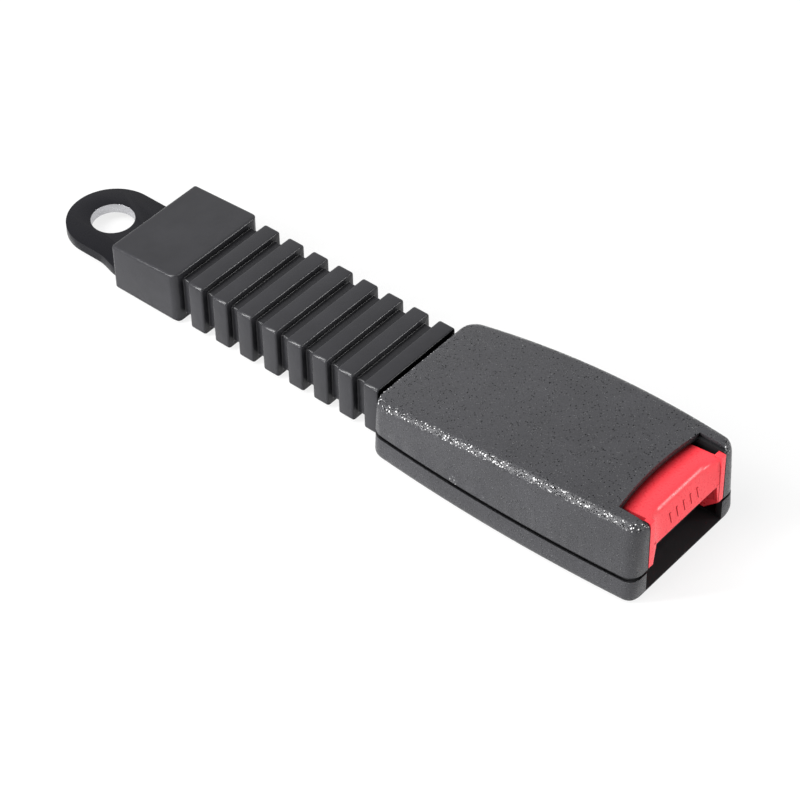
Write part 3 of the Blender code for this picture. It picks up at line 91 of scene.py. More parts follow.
RIB_GROOVE = 3.48 * MM
RIB_WIDTH = 30.3 * MM
RIB_HEIGHT = 15.7 * MM
GROOVE_DEPTH = 2.0 * MM
RIB_EDGE = 0.6 * MM
GROOVE_FILLET = 0.35 * MM
SLEEVE_TOP_CORNER = 1.0 * MM
SLEEVE_BOTTOM_CORNER = 1.1 * MM
SLEEVE_LEAST_CORNER = 0.45 * MM
NECK_WIDTH = 22.0 * MM
NECK_HEIGHT = 9.2 * MM
NECK_CORNER = 1.5 * MM
FLANGE_WIDTH = 25.4 * MM
FLANGE_HEIGHT = 11.6 * MM
FLANGE_LENGTH = 1.8 * MM
FLANGE_CORNER = 2.0 * MM
FLANGE_STEP = 0.05 * MM
BORE_ROUNDNESS = 0.95

REAR_HALF_WIDTH = 19.4 * MM
MID_HALF_WIDTH = 21.2 * MM
FRONT_HALF_WIDTH = 19.7 * MM
WIDEST_SHARE = 0.6
DRAFT = 1.3 * MM
REAR_HEIGHT = 17.2 * MM
FRONT_HEIGHT = 24.6 * MM
ARCH = 2.3 * MM
COVER_WALL = 1.7 * MM
REAR_CORNER = 3.8 * MM
FRONT_CORNER = 3.5 * MM
TOP_EDGE = 2.4 * MM
BOTTOM_EDGE = 2.2 * MM
REAR_TOP_EDGE = 0.9 * MM
FRONT_TOP_EDGE = 3.4 * MM
LEAST_CORNER = 1.0 * MM
LEAST_TOP_EDGE = 0.4 * MM
LEAST_REAR_TOP_EDGE = 0.2 * MM
LEAST_FRONT_TOP_EDGE = 0.5 * MM
LEAST_BOTTOM_EDGE = 0.5 * MM
LOWER_END_EDGE_SHARE = 0.6
TOP_SHARES = (0.66, 0.33)
PARTING_HEIGHT = 7.7 * MM
PARTING_GROOVE = 1.3 * MM
RABBET_DEPTH = 0.9 * MM
LOWER_SETBACK = 0.2 * MM
LOWER_FRONT_CORNER = 2.9 * MM
MOUTH_HALF_WIDTH = 15.2 * MM
NOTCH_HALF_WIDTH = 16.0 * MM
NOTCH_DEPTH = 8.6 * MM
NOTCH_BOW = 1.4 * MM
NOTCH_STEPS = 24
LEDGE_HEIGHT = 23.5 * MM
MOUTH_FLOOR = 1.2 * MM
MOUTH_FLOOR_LENGTH = 7.0 * MM
RAIL_WALL = 1.5 * MM
RAIL_SETBACK = 5.0 * MM
RAIL_FOOT = 0.5 * MM
RAIL_END = 1.2 * MM
RAIL_ROOF = 0.5 * COVER_WALL
LIP_BEVEL = 0.3 * MM

# How far the cutting shapes reach past what they cut
NOTCH_MARGIN = 5.0 * MM
SHELL_MARGIN = 3.0 * MM
NOTCH_UNDERCUT = 2.0 * MM
NECK_MARGIN = 2.0 * MM
NECK_CUT_DEPTH = COVER_WALL + 0.1 * MM

# Press button, its stations measured back from the mouth
BUTTON_WALL = 1.4 * MM
BUTTON_FACE_WALL = 2.0 * MM
BUTTON_HALF_WIDTH = 13.6 * MM
BUTTON_LENGTH = 18.1 * MM
BUTTON_REAR_TOP = 21.2 * MM
BUTTON_REAR_FOOT = 15.0 * MM
BUTTON_STEP_SETBACK = 11.6 * MM
BUTTON_STEP_RUN = 0.8 * MM
BUTTON_STEP_TOP = 21.9 * MM
BUTTON_BROW_SETBACK = 2.3 * MM
BUTTON_BROW_TOP = 22.7 * MM
BUTTON_BROW_RADIUS = 2.2 * MM
BUTTON_FACE_FOOT = 14.2 * MM
BUTTON_FACE_EDGE = 0.4 * MM
BUTTON_LIP_SETBACK = 0.1 * MM
EAR_BROW_RADIUS = 1.5 * BUTTON_FACE_EDGE
FLARE_START = 8.0 * MM
FLARE_REACH = 2.1 * MM
FLARE_RISE = 0.5 * MM
FLARE_STEPS = 12
WING_INNER = 13.2 * MM
WING_OUTER = 14.9 * MM
WING_FOOT = 4.4 * MM
WING_CHAMFER = 4.2 * MM
WING_REACH = 6.0 * MM
WING_TOP = 19.0 * MM
WING_REAR_TOP = 13.0 * MM
EAR_TOP = 23.4 * MM
EAR_LENGTH = 2.1 * MM
LIP_WIDTH = 1.1 * MM
LIP_FOOT_WIDTH = 0.2 * LIP_WIDTH
LIP_DEPTH = 1.0 * MM
ARM_GAP = 0.5 * MM
ARM_STEEP = 1.2 * MM
ARM_HALF_WIDTH = 3.0 * MM
ARM_ROOT = 0.6 * BUTTON_FACE_WALL
BUTTON_BEVEL = 0.3 * MM
GRIP_BARS = 5
GRIP_BAR_LENGTH = 2.8 * MM
GRIP_BAR_WIDTH = 0.55 * MM
GRIP_BAR_RISE = 0.2 * MM
GRIP_BAR_SPACING = 2.7 * MM
GRIP_HEIGHT = 17.6 * MM

# Depth under a cover's surface at which a face counts as inside
SKIN = 0.65 * MM

# Steps of the curves
CORNER_STEPS = 10
SECTION_STEPS = 8
BODY_STEPS = 64
TURN_STEPS = 4
FILLET_STEPS = 10
EYE_STEPS = 48
HOLE_STEPS = 72
TAIL_STEPS = 6
RIVET_STEPS = 32

# Steepest turn in degrees that is still shaded smooth
PLATE_SMOOTH = 20.0
SLEEVE_SMOOTH = 50.0
COVER_SMOOTH = 40.0
BUTTON_SMOOTH = 40.0

# Photograph's camera, fitted to the object's edges in the 800 pixel frame
PHOTO_SIZE = 800
CAMERA_AZIMUTH = 41.0
CAMERA_ELEVATION = 43.57
CAMERA_ROLL = -1.26
CAMERA_DISTANCE = 750.0 * MM
CAMERA_FOCAL_PIXELS = 2981.0
CAMERA_SIDE_SHIFT = -0.89 * MM
CAMERA_RISE = 10.05 * MM
SENSOR_WIDTH = 36.0
CAMERA_CLIP_START = 0.05
AIM_FROM_HOLE = Vector((100.0 * MM, 0.0, 12.0 * MM))

# Studio: name, direction, distance and size in metres, power in watts
SOFTBOXES = (
    ("key_strip", (-0.475, -0.68, 0.56), 0.6, (0.09, 0.5), 4.2),
    ("top_box", (-0.25, -0.35, 0.9), 1.0, (0.6, 0.5), 5.2),
    ("side_box", (-0.1, -0.98, 0.25), 0.9, (0.5, 0.25), 5.0),
    ("front_box", (0.93, 0.2, 0.3), 0.9, (0.3, 0.15), 2.0),
    ("edge_strip", (0.69, 0.55, 0.475), 0.9, (0.1, 0.36), 2.2),
)
FLOOR_SIZE = 6.0
FLOOR_DROP = 0.02 * MM
FLOOR_GREY = 0.9
FLOOR_GLOW = 0.8
WORLD_FILL = 0.22
WHITE = (1.0, 1.0, 1.0, 1.0)

# Drift of colour and gloss in cells per metre, and rays of the painted crevice shade
DRIFT_SCALE = 90.0
FINE_SCALE = 1400.0
PAINTED_SHADE_SAMPLES = 16


def arc(centre, radius, start, end, steps):
    """Points of an arc in a plane, angles in degrees, both ends included."""
    points = []
    for index in range(steps + 1):
        angle = math.radians(start + (end - start) * index / steps)
        points.append((centre[0] + radius * math.cos(angle), centre[1] + radius * math.sin(angle)))
    return points


def edge_drop(distance, radius):
    """How far a rounded edge has fallen away at this distance in from its end."""
    if distance >= radius:
        return 0.0
    reach = radius - max(distance, 0.0)
    return radius - math.sqrt(radius * radius - reach * reach)


def quarter_stations(radius):
    """Distances from an end at which a rounded corner turns by equal angles."""
    quarter = math.pi / 2
    return [radius * (1 - math.cos(quarter * index / CORNER_STEPS)) for index in range(CORNER_STEPS + 1)]


def link(item):
    bpy.context.scene.collection.objects.link(item)
    return item


def object_from_bmesh(name, bm):
    bmesh.ops.recalc_face_normals(bm, faces=bm.faces)
    mesh = bpy.data.meshes.new(name)
    bm.to_mesh(mesh)
    bm.free()
    return link(bpy.data.objects.new(name, mesh))


def loft(name, sections):
    """A closed solid through sections with the same number of points."""
    bm = bmesh.new()
    rings = [[bm.verts.new(point) for point in section] for section in sections]
    for ring, following in zip(rings, rings[1:]):
        count = len(ring)
        for index in range(count):
            after = (index + 1) % count
            bm.faces.new((ring[index], ring[after], following[after], following[index]))
    bm.faces.new(rings[0])
    bm.faces.new(rings[-1])
    return object_from_bmesh(name, bm)


def box(name, x_range, y_range, z_range):
    bm = bmesh.new()
    size = (x_range[1] - x_range[0], y_range[1] - y_range[0], z_range[1] - z_range[0])
    middle = [(pair[0] + pair[1]) / 2 for pair in (x_range, y_range, z_range)]
    bmesh.ops.create_cube(bm, size=1.0, matrix=Matrix.Translation(middle) @ Matrix.Diagonal((*size, 1.0)))
    return object_from_bmesh(name, bm)


def outline_solid(name, loops, low, high, side_view=False):
    """A flat outline with holes from a filled 2D curve, in plan or in side view."""
    curve = bpy.data.curves.new(name + "_outline", "CURVE")
    curve.dimensions = "2D"
    curve.fill_mode = "BOTH"
    curve.extrude = (high - low) / 2
    for loop in loops:
        spline = curve.splines.new("POLY")
        spline.points.add(len(loop) - 1)
        spline.use_cyclic_u = True
        for point, (along, across) in zip(spline.points, loop):
            point.co = (along, across, 0.0, 1.0)
    drawn = link(bpy.data.objects.new(name + "_outline", curve))
    middle = (low + high) / 2
    if side_view:
        drawn.matrix_world = Matrix.Translation((0, middle, 0)) @ Matrix.Rotation(math.pi / 2, 4, "X")
    else:
        drawn.matrix_world = Matrix.Translation((0, 0, middle))
    bpy.context.view_layer.update()
    mesh = bpy.data.meshes.new_from_object(drawn.evaluated_get(bpy.context.evaluated_depsgraph_get()))
    place = drawn.matrix_world.copy()
    bpy.data.objects.remove(drawn, do_unlink=True)
    bm = bmesh.new()
    bm.from_mesh(mesh)
    bpy.data.meshes.remove(mesh)
    bm.transform(place)
    bmesh.ops.remove_doubles(bm, verts=bm.verts, dist=0.000001)
    return object_from_bmesh(name, bm)


def bevel(item, width, segments, angle):
    modifier = item.modifiers.new("soft_edges", "BEVEL")
    modifier.width = width
    modifier.segments = segments
    modifier.limit_method = "ANGLE"
    modifier.angle_limit = math.radians(angle)
    modifier.miter_outer = "MITER_ARC"


def apply_modifiers(item):
    """Bake the modifiers into the mesh, so that tools can be removed."""
    bpy.context.view_layer.update()
    graph = bpy.context.evaluated_depsgraph_get()
    mesh = bpy.data.meshes.new_from_object(item.evaluated_get(graph))
    item.modifiers.clear()
    item.data = mesh


def boolean(target, tool, operation):
    modifier = target.modifiers.new(operation.lower(), "BOOLEAN")
    modifier.operation = operation
    modifier.solver = "EXACT"
    modifier.object = tool
    apply_modifiers(target)
    bpy.data.objects.remove(tool, do_unlink=True)


def smooth(item, angle):
    item.data.shade_smooth()
    item.data.set_sharp_from_angle(angle=math.radians(angle))


def finish_edges(item, width, segments, sharp, steepest):
    """Round the edges sharper than one angle, then shade the rest smooth up to another."""
    bevel(item, width, segments, sharp)
    apply_modifiers(item)
    smooth(item, steepest)


def rounded_section(x, half_width, low, height, top_radius, bottom_radius):
    """A rounded rectangle across the part at x."""
    high = low + height
    points = arc((half_width - top_radius, high - top_radius), top_radius, 0, 90, SECTION_STEPS)
    points += arc((-half_width + top_radius, high - top_radius), top_radius, 90, 180, SECTION_STEPS)
    floor = low + bottom_radius
    points += arc((-half_width + bottom_radius, floor), bottom_radius, 180, 270, SECTION_STEPS)
    points += arc((half_width - bottom_radius, floor), bottom_radius, 270, 360, SECTION_STEPS)
    return [(x, across, height) for across, height in points]


def sleeve_ring(x, width, height, narrowing, lowering):
    """One section of the sleeve, drawn in at its sides and at its top and underside."""
    shrink = max(narrowing, lowering)
    top_radius = max(SLEEVE_TOP_CORNER - shrink, SLEEVE_LEAST_CORNER)
    bottom_radius = max(SLEEVE_BOTTOM_CORNER - shrink, SLEEVE_LEAST_CORNER)
    return rounded_section(x, width / 2 - narrowing, SLEEVE_UNDERSIDE + lowering, height - 2 * lowering,
                           top_radius, bottom_radius)


def collar_height(along):
    """The collar rises from the eye towards the ribs."""
    return COLLAR_REAR_HEIGHT + (COLLAR_FRONT_HEIGHT - COLLAR_REAR_HEIGHT) * along / COLLAR_LENGTH


def collar_ring(along, from_end, corner):
    return sleeve_ring(SLEEVE_START + along, COLLAR_WIDTH, collar_height(along),
                       edge_drop(from_end, corner), edge_drop(from_end, COLLAR_EDGE))


def collar_rings():
    """The collar, with its rear face hollowed a little towards the top."""
    rings = []
    for station in COLLAR_REAR_SHARES:
        distance = COLLAR_REAR_RUN * station
        bowed = []
        for x, across, height in collar_ring(distance, distance, COLLAR_REAR_CORNER):
            share = max(0.0, (height - SLEEVE_UNDERSIDE) / COLLAR_REAR_HEIGHT)
            bow = COLLAR_BOW * share * (1 - (across / (COLLAR_WIDTH / 2)) ** 2)
            bowed.append((x + bow, across, height))
        rings.append(bowed)
    for distance in reversed(quarter_stations(COLLAR_CORNER)):
        rings.append(collar_ring(COLLAR_LENGTH - distance, distance, COLLAR_CORNER))
    return rings


def quarter_turn(wall, radius, forward):
    """Stations of a quarter turn away from a wall, each with what is left of the radius."""
    points = []
    for index in range(TURN_STEPS + 1):
        angle = math.pi / 2 * index / TURN_STEPS
        run = radius * (1 - math.cos(angle))
        points.append((wall + run if forward else wall - run, radius * (1 - math.sin(angle))))
    return points if forward else points[::-1]


def rib_rings():
    """Grooves with filleted floors and ribs with rounded edges."""
    stations = []
    for index in range(RIB_COUNT):
        groove = SLEEVE_START + COLLAR_LENGTH + index * (RIB_LAND + RIB_GROOVE)
        rib = groove + RIB_GROOVE
        floor = quarter_turn(groove, GROOVE_FILLET, True) + quarter_turn(rib, GROOVE_FILLET, False)
        stations += [(x, GROOVE_DEPTH - left) for x, left in floor]
        stations += quarter_turn(rib, RIB_EDGE, True) + quarter_turn(rib + RIB_LAND, RIB_EDGE, False)
    return [sleeve_ring(x, RIB_WIDTH, RIB_HEIGHT, depth, depth) for x, depth in stations]


def centred_section(x, width, height, corner):
    """A rounded rectangle round the neck's middle line."""
    return rounded_section(x, width / 2, NECK_MIDDLE - height / 2, height, corner, corner)


def build_sleeve():
    """One moulding: collar, ribs, neck and inner flange, hollow for the plate, the crimp and the rope."""
    end = SLEEVE_START + COLLAR_LENGTH + RIB_COUNT * (RIB_LAND + RIB_GROOVE)
    flange = SLEEVE_HIGH.x - FLANGE_LENGTH
    rings = collar_rings() + rib_rings()
    for x in (end + GAP, flange - FLANGE_STEP):
        rings.append(centred_section(x, NECK_WIDTH, NECK_HEIGHT, NECK_CORNER))
    for x in (flange, SLEEVE_HIGH.x):
        rings.append(centred_section(x, FLANGE_WIDTH, FLANGE_HEIGHT, FLANGE_CORNER))
    sleeve = loft("sleeve_moulding", rings)
    slot = box("plate_slot", (SLEEVE_START - MM, PLATE_HIGH.x + GAP),
               (PLATE_LOW.y - GAP, PLATE_HIGH.y + GAP), (PLATE_LOW.z - GAP, PLATE_HIGH.z + GAP))
    boolean(sleeve, slot, "DIFFERENCE")
    rivet_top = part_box("ferrule_rivet_front")[1].z
    pocket = box("crimp_pocket", (FERRULE_LOW.x - GAP, FERRULE_HIGH.x + GAP),
                 (FERRULE_LOW.y - GAP, FERRULE_HIGH.y + GAP), (PLATE_LOW.z, rivet_top + GAP))
    boolean(sleeve, pocket, "DIFFERENCE")
    rope_low, rope_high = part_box("cable_loop")
    radius = (rope_high.z - rope_low.z) / 2 + GAP
    corner = radius * BORE_ROUNDNESS
    bore = loft("rope_bore", [
        rounded_section(x, rope_high.y + GAP, rope_low.z - GAP, 2 * radius, corner, corner)
        for x in (FERRULE_HIGH.x, SLEEVE_HIGH.x + MM)])
    boolean(sleeve, bore, "DIFFERENCE")
    smooth(sleeve, SLEEVE_SMOOTH)
    return sleeve


def plate_outline():
    """The eye's round end, the flares on both sides and the tail."""
    tail_half = PLATE_HIGH.y
    start = SLEEVE_START - PLATE_FLARE_SETBACK
    run = PLATE_FLARE_SETBACK - PLATE_FLARE_END
    flare = []
    for index in range(PLATE_FLARE_STEPS + 1):
        share = index / PLATE_FLARE_STEPS
        ease = share * share * (3 - 2 * share)
        flare.append((start + run * share, EYE_RADIUS + (tail_half - EYE_RADIUS) * ease))
    end = PLATE_HIGH.x - PLATE_TAIL_CORNER
    side = tail_half - PLATE_TAIL_CORNER
    return [*arc((EYE_CENTRE, 0.0), EYE_RADIUS, 90, 270, EYE_STEPS), *[(x, -across) for x, across in flare],
            *arc((end, -side), PLATE_TAIL_CORNER, 270, 360, TAIL_STEPS),
            *arc((end, side), PLATE_TAIL_CORNER, 0, 90, TAIL_STEPS), *reversed(flare)]


def build_plate():
    """Eye plate with rounded stamped edges."""
    hole = arc((EYE_CENTRE, 0.0), BOLT_HOLE_RADIUS, 0, 360, HOLE_STEPS)[:-1]
    plate = outline_solid("eye_plate", [plate_outline(), hole], PLATE_LOW.z, PLATE_HIGH.z)
    for name in ("ferrule_rivet_front", "ferrule_rivet_rear"):
        low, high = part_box(name)
        place = Matrix.Translation(((low.x + high.x) / 2, 0.0, PLATE_LOW.z))
        bm = bmesh.new()
        bmesh.ops.create_cone(bm, cap_ends=True, segments=RIVET_STEPS, radius1=RIVET_ROOM_RADIUS,
                              radius2=RIVET_ROOM_RADIUS, depth=RIVET_ROOM_DEPTH, matrix=place)
        boolean(plate, object_from_bmesh("rivet_room", bm), "DIFFERENCE")
    finish_edges(plate, PLATE_BEVEL, 3, 35.0, PLATE_SMOOTH)
    return plate


def half_width_at(x, height):
    """Half the buckle's width: widest past the middle, drawn in a little towards the top."""
    share = (x - BUCKLE_START) / BUCKLE_LENGTH
    peak = WIDEST_SHARE
    rear = (share - peak) * (share - 1) / peak
    middle = share * (share - 1) / (peak * (peak - 1))
    front = share * (share - peak) / (1 - peak)
    plain = REAR_HALF_WIDTH * rear + MID_HALF_WIDTH * middle + FRONT_HALF_WIDTH * front
    return plain + DRAFT * (1 - height / FRONT_HEIGHT)


def cover_top_at(x):
    """Height of the upper cover: a wedge that rises to the mouth with a gentle arch."""
    share = (x - BUCKLE_START) / BUCKLE_LENGTH
    return REAR_HEIGHT + (FRONT_HEIGHT - REAR_HEIGHT) * share + 4 * ARCH * share * (1 - share)


def cover_stations(start, end, rear_radius, front_radius):
    rear = [start + distance for distance in quarter_stations(rear_radius)]
    front = [end - distance for distance in reversed(quarter_stations(front_radius))]
    run = front[0] - rear[-1]
    body = [rear[-1] + run * index / BODY_STEPS for index in range(1, BODY_STEPS)]
    return rear + body + front


def upper_block(name, inset, low):
    """The upper cover's outer form, or the same form drawn in by an inset."""
    start = BUCKLE_START + inset
    end = BUCKLE_END - inset
    rear_radius = max(REAR_CORNER - inset, LEAST_CORNER)
    front_radius = max(FRONT_CORNER - inset, LEAST_CORNER)
    edge = max(TOP_EDGE - inset, LEAST_TOP_EDGE)
    rear_edge = max(REAR_TOP_EDGE - inset, LEAST_REAR_TOP_EDGE)
    front_edge = max(FRONT_TOP_EDGE - inset, LEAST_FRONT_TOP_EDGE)
    sections = []
    for x in cover_stations(start, end, rear_radius, front_radius):
        pull = edge_drop(x - start, rear_radius) + edge_drop(end - x, front_radius)
        top = cover_top_at(x) - inset
        top -= edge_drop(x - start, rear_edge) + edge_drop(end - x, front_edge)
        half_low = half_width_at(x, low) - inset - pull
        half_top = half_width_at(x, top) - inset - pull
        side = [(half_low, low), ((half_low + half_top) / 2, (low + top) / 2)]
        side += arc((half_top - edge, top - edge), edge, 0, 90, SECTION_STEPS)
        side += [((half_top - edge) * share, top) for share in TOP_SHARES]
        profile = side + [(-across, height) for across, height in reversed(side)]
        sections.append([(x, across, height) for across, height in profile])
    return loft(name, sections)


def lower_block(name, inset, high):
    """The lower cover's outer form, or the same form drawn in by an inset."""
    start = BUCKLE_START + inset
    end = BUCKLE_END - LOWER_SETBACK - inset
    rear_radius = max(REAR_CORNER - inset, LEAST_CORNER)
    front_radius = max(LOWER_FRONT_CORNER - inset, LEAST_CORNER)
    edge = max(BOTTOM_EDGE - inset, LEAST_BOTTOM_EDGE)
    end_edge = edge * LOWER_END_EDGE_SHARE
    sections = []
    for x in cover_stations(start, end, rear_radius, front_radius):
        pull = edge_drop(x - start, rear_radius) + edge_drop(end - x, front_radius)
        floor = inset + edge_drop(x - start, end_edge) + edge_drop(end - x, end_edge)
        half_floor = half_width_at(x, 0.0) - inset - pull
        half_high = half_width_at(x, high) - inset - pull
        side = arc((half_floor - edge, floor + edge), edge, -90, 0, SECTION_STEPS) + [(half_high, high)]
        profile = side + [(-across, height) for across, height in reversed(side)]
        sections.append([(x, across, height) for across, height in profile])
    return loft(name, sections)


def notch_outline(half_width):
    """Plan of the notch over the button: open at the mouth, bowed at its rear."""
    rear = BUCKLE_END - NOTCH_DEPTH
    front = BUCKLE_END + NOTCH_MARGIN
    points = [(front, -half_width), (front, half_width)]
    for index in range(NOTCH_STEPS + 1):
        across = half_width * (1 - 2 * index / NOTCH_STEPS)
        points.append((rear - NOTCH_BOW * (1 - (across / half_width) ** 2), across))
    return points


def neck_opening():
    return loft("neck_opening", [
        centred_section(x, NECK_WIDTH + 2 * GAP, NECK_HEIGHT + 2 * GAP, NECK_CORNER)
        for x in (BUCKLE_START - NECK_MARGIN, BUCKLE_START + NECK_CUT_DEPTH)])


def rail(side, low):
    """Cheek inside the mouth that guides a wing of the button."""
    faces = sorted((side * MOUTH_HALF_WIDTH, side * (MOUTH_HALF_WIDTH + RAIL_WALL)))
    rear = BUTTON_REAR + RAIL_SETBACK
    front = BUCKLE_END - RAIL_END
    brow = BUCKLE_END - FRONT_TOP_EDGE
    profile = [(rear, low + RAIL_FOOT), (front, low + RAIL_FOOT),
               (front, cover_top_at(BUCKLE_END) - FRONT_TOP_EDGE),
               (brow, cover_top_at(brow) - RAIL_ROOF), (rear, cover_top_at(rear) - RAIL_ROOF)]
    return outline_solid("rail", [profile], *faces, side_view=True)


def build_upper():
    """Upper cover: a shell with a notch, cheeks in the mouth, a ledge above the ears and a rear opening."""
    low = PARTING_HEIGHT + PARTING_GROOVE / 2
    above = FRONT_HEIGHT + NOTCH_MARGIN
    cover = upper_block("upper_shell", 0.0, low)
    boolean(cover, upper_block("cavity", COVER_WALL, low - MM), "DIFFERENCE")
    notch = outline_solid("notch", [notch_outline(MOUTH_HALF_WIDTH)], low - NOTCH_UNDERCUT, above)
    boolean(cover, notch, "DIFFERENCE")
    for side in (-1, 1):
        boolean(cover, rail(side, low), "UNION")
    ledge = outline_solid("ledge", [notch_outline(NOTCH_HALF_WIDTH)], LEDGE_HEIGHT, above)
    boolean(cover, ledge, "DIFFERENCE")
    boolean(cover, neck_opening(), "DIFFERENCE")
    finish_edges(cover, LIP_BEVEL, 2, 50.0, COVER_SMOOTH)
    return cover


def build_lower():
    """Lower cover: a tray whose rim stands up inside the parting line, open at the mouth and the neck."""
    high = PARTING_HEIGHT - PARTING_GROOVE / 2
    cover = lower_block("lower_shell", 0.0, high)
    boolean(cover, lower_block("rim", RABBET_DEPTH, high + PARTING_GROOVE - GAP), "UNION")
    boolean(cover, lower_block("cavity", COVER_WALL, high + SHELL_MARGIN), "DIFFERENCE")
    mouth = box("mouth", (BUCKLE_END - MOUTH_FLOOR_LENGTH, BUCKLE_END + SHELL_MARGIN),
                (-MOUTH_HALF_WIDTH, MOUTH_HALF_WIDTH), (MOUTH_FLOOR, high + SHELL_MARGIN))
    boolean(cover, mouth, "DIFFERENCE")
    boolean(cover, neck_opening(), "DIFFERENCE")
    finish_edges(cover, LIP_BEVEL, 2, 50.0, COVER_SMOOTH)
    return cover


def fillet(before, corner, after, radius):
    """Points of an arc that rounds the corner between two straight runs."""
    corner = Vector(corner)
    first = (Vector(before) - corner).normalized()
    second = (Vector(after) - corner).normalized()
    half = first.angle(second) / 2
    centre = corner + (first + second).normalized() * (radius / math.sin(half))
    start = corner + first * (radius / math.tan(half)) - centre
    end = corner + second * (radius / math.tan(half)) - centre
    turn = math.pi - 2 * half
    points = []
    for index in range(FILLET_STEPS + 1):
        share = index / FILLET_STEPS
        spoke = start * math.sin(turn * (1 - share)) + end * math.sin(turn * share)
        points.append(tuple(centre + spoke / math.sin(turn)))
    return points


def face_profile(across):
    """Side view of the button's body at a distance from the middle; the face flares out to the wings."""
    share = max(0.0, (abs(across) - FLARE_START) / (BUTTON_HALF_WIDTH - FLARE_START)) ** 2
    front = BUCKLE_END
    rear = front - BUTTON_LENGTH
    step = front - BUTTON_STEP_SETBACK
    brow = front - BUTTON_BROW_SETBACK
    wall = BUTTON_FACE_WALL
    step_top = (step, BUTTON_STEP_TOP)
    brow_top = (brow + FLARE_REACH * share, BUTTON_BROW_TOP + FLARE_RISE * share)
    foot = (front - BUTTON_LIP_SETBACK, BUTTON_FACE_FOOT)
    inner_foot = (front - wall, BUTTON_FACE_FOOT)
    brow_radius = BUTTON_BROW_RADIUS + (EAR_BROW_RADIUS - BUTTON_BROW_RADIUS) * share
    return [
        (step - BUTTON_STEP_RUN, BUTTON_REAR_TOP), (rear, BUTTON_REAR_TOP),
        (rear, BUTTON_REAR_FOOT), (rear + BUTTON_WALL, BUTTON_REAR_FOOT),
        (rear + BUTTON_WALL, BUTTON_REAR_TOP - wall), (brow - wall, BUTTON_BROW_TOP - wall), inner_foot,
        *fillet(inner_foot, foot, brow_top, BUTTON_FACE_EDGE),
        *fillet(foot, brow_top, step_top, brow_radius), step_top,
    ]


def wing_profile():
    """Side view of a wing, with its ear at the mouth."""
    front = BUCKLE_END
    ear = front - EAR_LENGTH
    rear = front - BUTTON_LENGTH
    tail = rear - WING_REACH
    return [(ear, WING_TOP), (ear, EAR_TOP), (front, EAR_TOP), (front, WING_FOOT + WING_CHAMFER),
            (front - WING_CHAMFER, WING_FOOT), (tail, WING_FOOT), (tail, WING_REAR_TOP),
            (rear + BUTTON_WALL, WING_TOP)]


def wing_lip(side):
    """Lip inside a wing at the mouth, wide under the face and narrow at its foot."""
    front = BUCKLE_END - BUTTON_LIP_SETBACK
    rear = front - LIP_DEPTH
    root = side * (WING_INNER + BUTTON_BEVEL)
    levels = ((WING_FOOT + WING_CHAMFER, LIP_FOOT_WIDTH), (BUTTON_FACE_FOOT, LIP_WIDTH),
              (BUTTON_FACE_FOOT + 2 * BUTTON_FACE_EDGE, LIP_WIDTH))
    sections = []
    for height, width in levels:
        inner = side * (WING_INNER - width)
        corners = ((rear, root), (front, root), (front, inner), (rear, inner))
        sections.append([(x, across, height) for x, across in corners])
    return loft("wing_lip", sections)


def grip_bars():
    """Plain raised bars on the button's face."""
    foot = Vector((BUCKLE_END - BUTTON_LIP_SETBACK, BUTTON_FACE_FOOT))
    brow = Vector((BUCKLE_END - BUTTON_BROW_SETBACK, BUTTON_BROW_TOP))
    rise = (brow - foot).normalized()
    middle = foot + rise * ((GRIP_HEIGHT - foot.y) / rise.y)
    tilt = Matrix.Rotation(math.atan2(rise.x, rise.y), 4, "Y")
    shape = Matrix.Diagonal((2 * GRIP_BAR_RISE, GRIP_BAR_WIDTH, GRIP_BAR_LENGTH, 1.0))
    bars = []
    for index in range(GRIP_BARS):
        across = (index - (GRIP_BARS - 1) / 2) * GRIP_BAR_SPACING
        place = Matrix.Translation((middle.x, across, middle.y))
        bm = bmesh.new()
        bmesh.ops.create_cube(bm, size=1.0, matrix=place @ tilt @ shape)
        bar = object_from_bmesh("grip_bar", bm)
        bevel(bar, GRIP_BAR_RISE / 2, 2, 35.0)
        apply_modifiers(bar)
        bars.append(bar)
    return bars


def build_button():
    """Red button: a face that runs into two wings, with an ear on each and a latch arm inside."""
    run = BUTTON_HALF_WIDTH - FLARE_START
    reach = [FLARE_START + run * index / FLARE_STEPS for index in range(FLARE_STEPS + 1)]
    stations = [-across for across in reversed(reach)] + [0.0] + reach
    button = loft("button_skin", [[(x, across, height) for x, height in face_profile(across)]
                                  for across in stations])
    for side in (-1, 1):
        faces = sorted((side * WING_INNER, side * WING_OUTER))
        boolean(button, outline_solid("wing", [wing_profile()], *faces, side_view=True), "UNION")
        boolean(button, wing_lip(side), "UNION")
    low = GUIDE_TOP + ARM_GAP
    tip = LATCH_END + ARM_STEEP
    front = BUCKLE_END - ARM_ROOT
    arm = [(tip, low), (front - BUTTON_FACE_WALL, low), (front, BUTTON_FACE_FOOT + ARM_GAP),
           (front, BUTTON_FACE_FOOT + BUTTON_WALL), (tip + ARM_STEEP, low + ARM_STEEP)]
    boolean(button, outline_solid("arm", [arm], -ARM_HALF_WIDTH, ARM_HALF_WIDTH, side_view=True), "UNION")
    bevel(button, BUTTON_BEVEL, 3, 45.0)
    apply_modifiers(button)
    for bar in grip_bars():
        boolean(button, bar, "UNION")
    smooth(button, BUTTON_SMOOTH)
    return button


def node_tree(name):
    material = bpy.data.materials.new(name)
    material.use_nodes = True
    return material, material.node_tree.nodes, material.node_tree.links


def noise(nodes, links, coordinates, scale, detail=3.0, roughness=0.55):
    texture = nodes.new("ShaderNodeTexNoise")
    texture.inputs["Scale"].default_value = scale
    texture.inputs["Detail"].default_value = detail
    texture.inputs["Roughness"].default_value = roughness
    links.new(coordinates, texture.inputs["Vector"])
    return texture.outputs["Fac"]


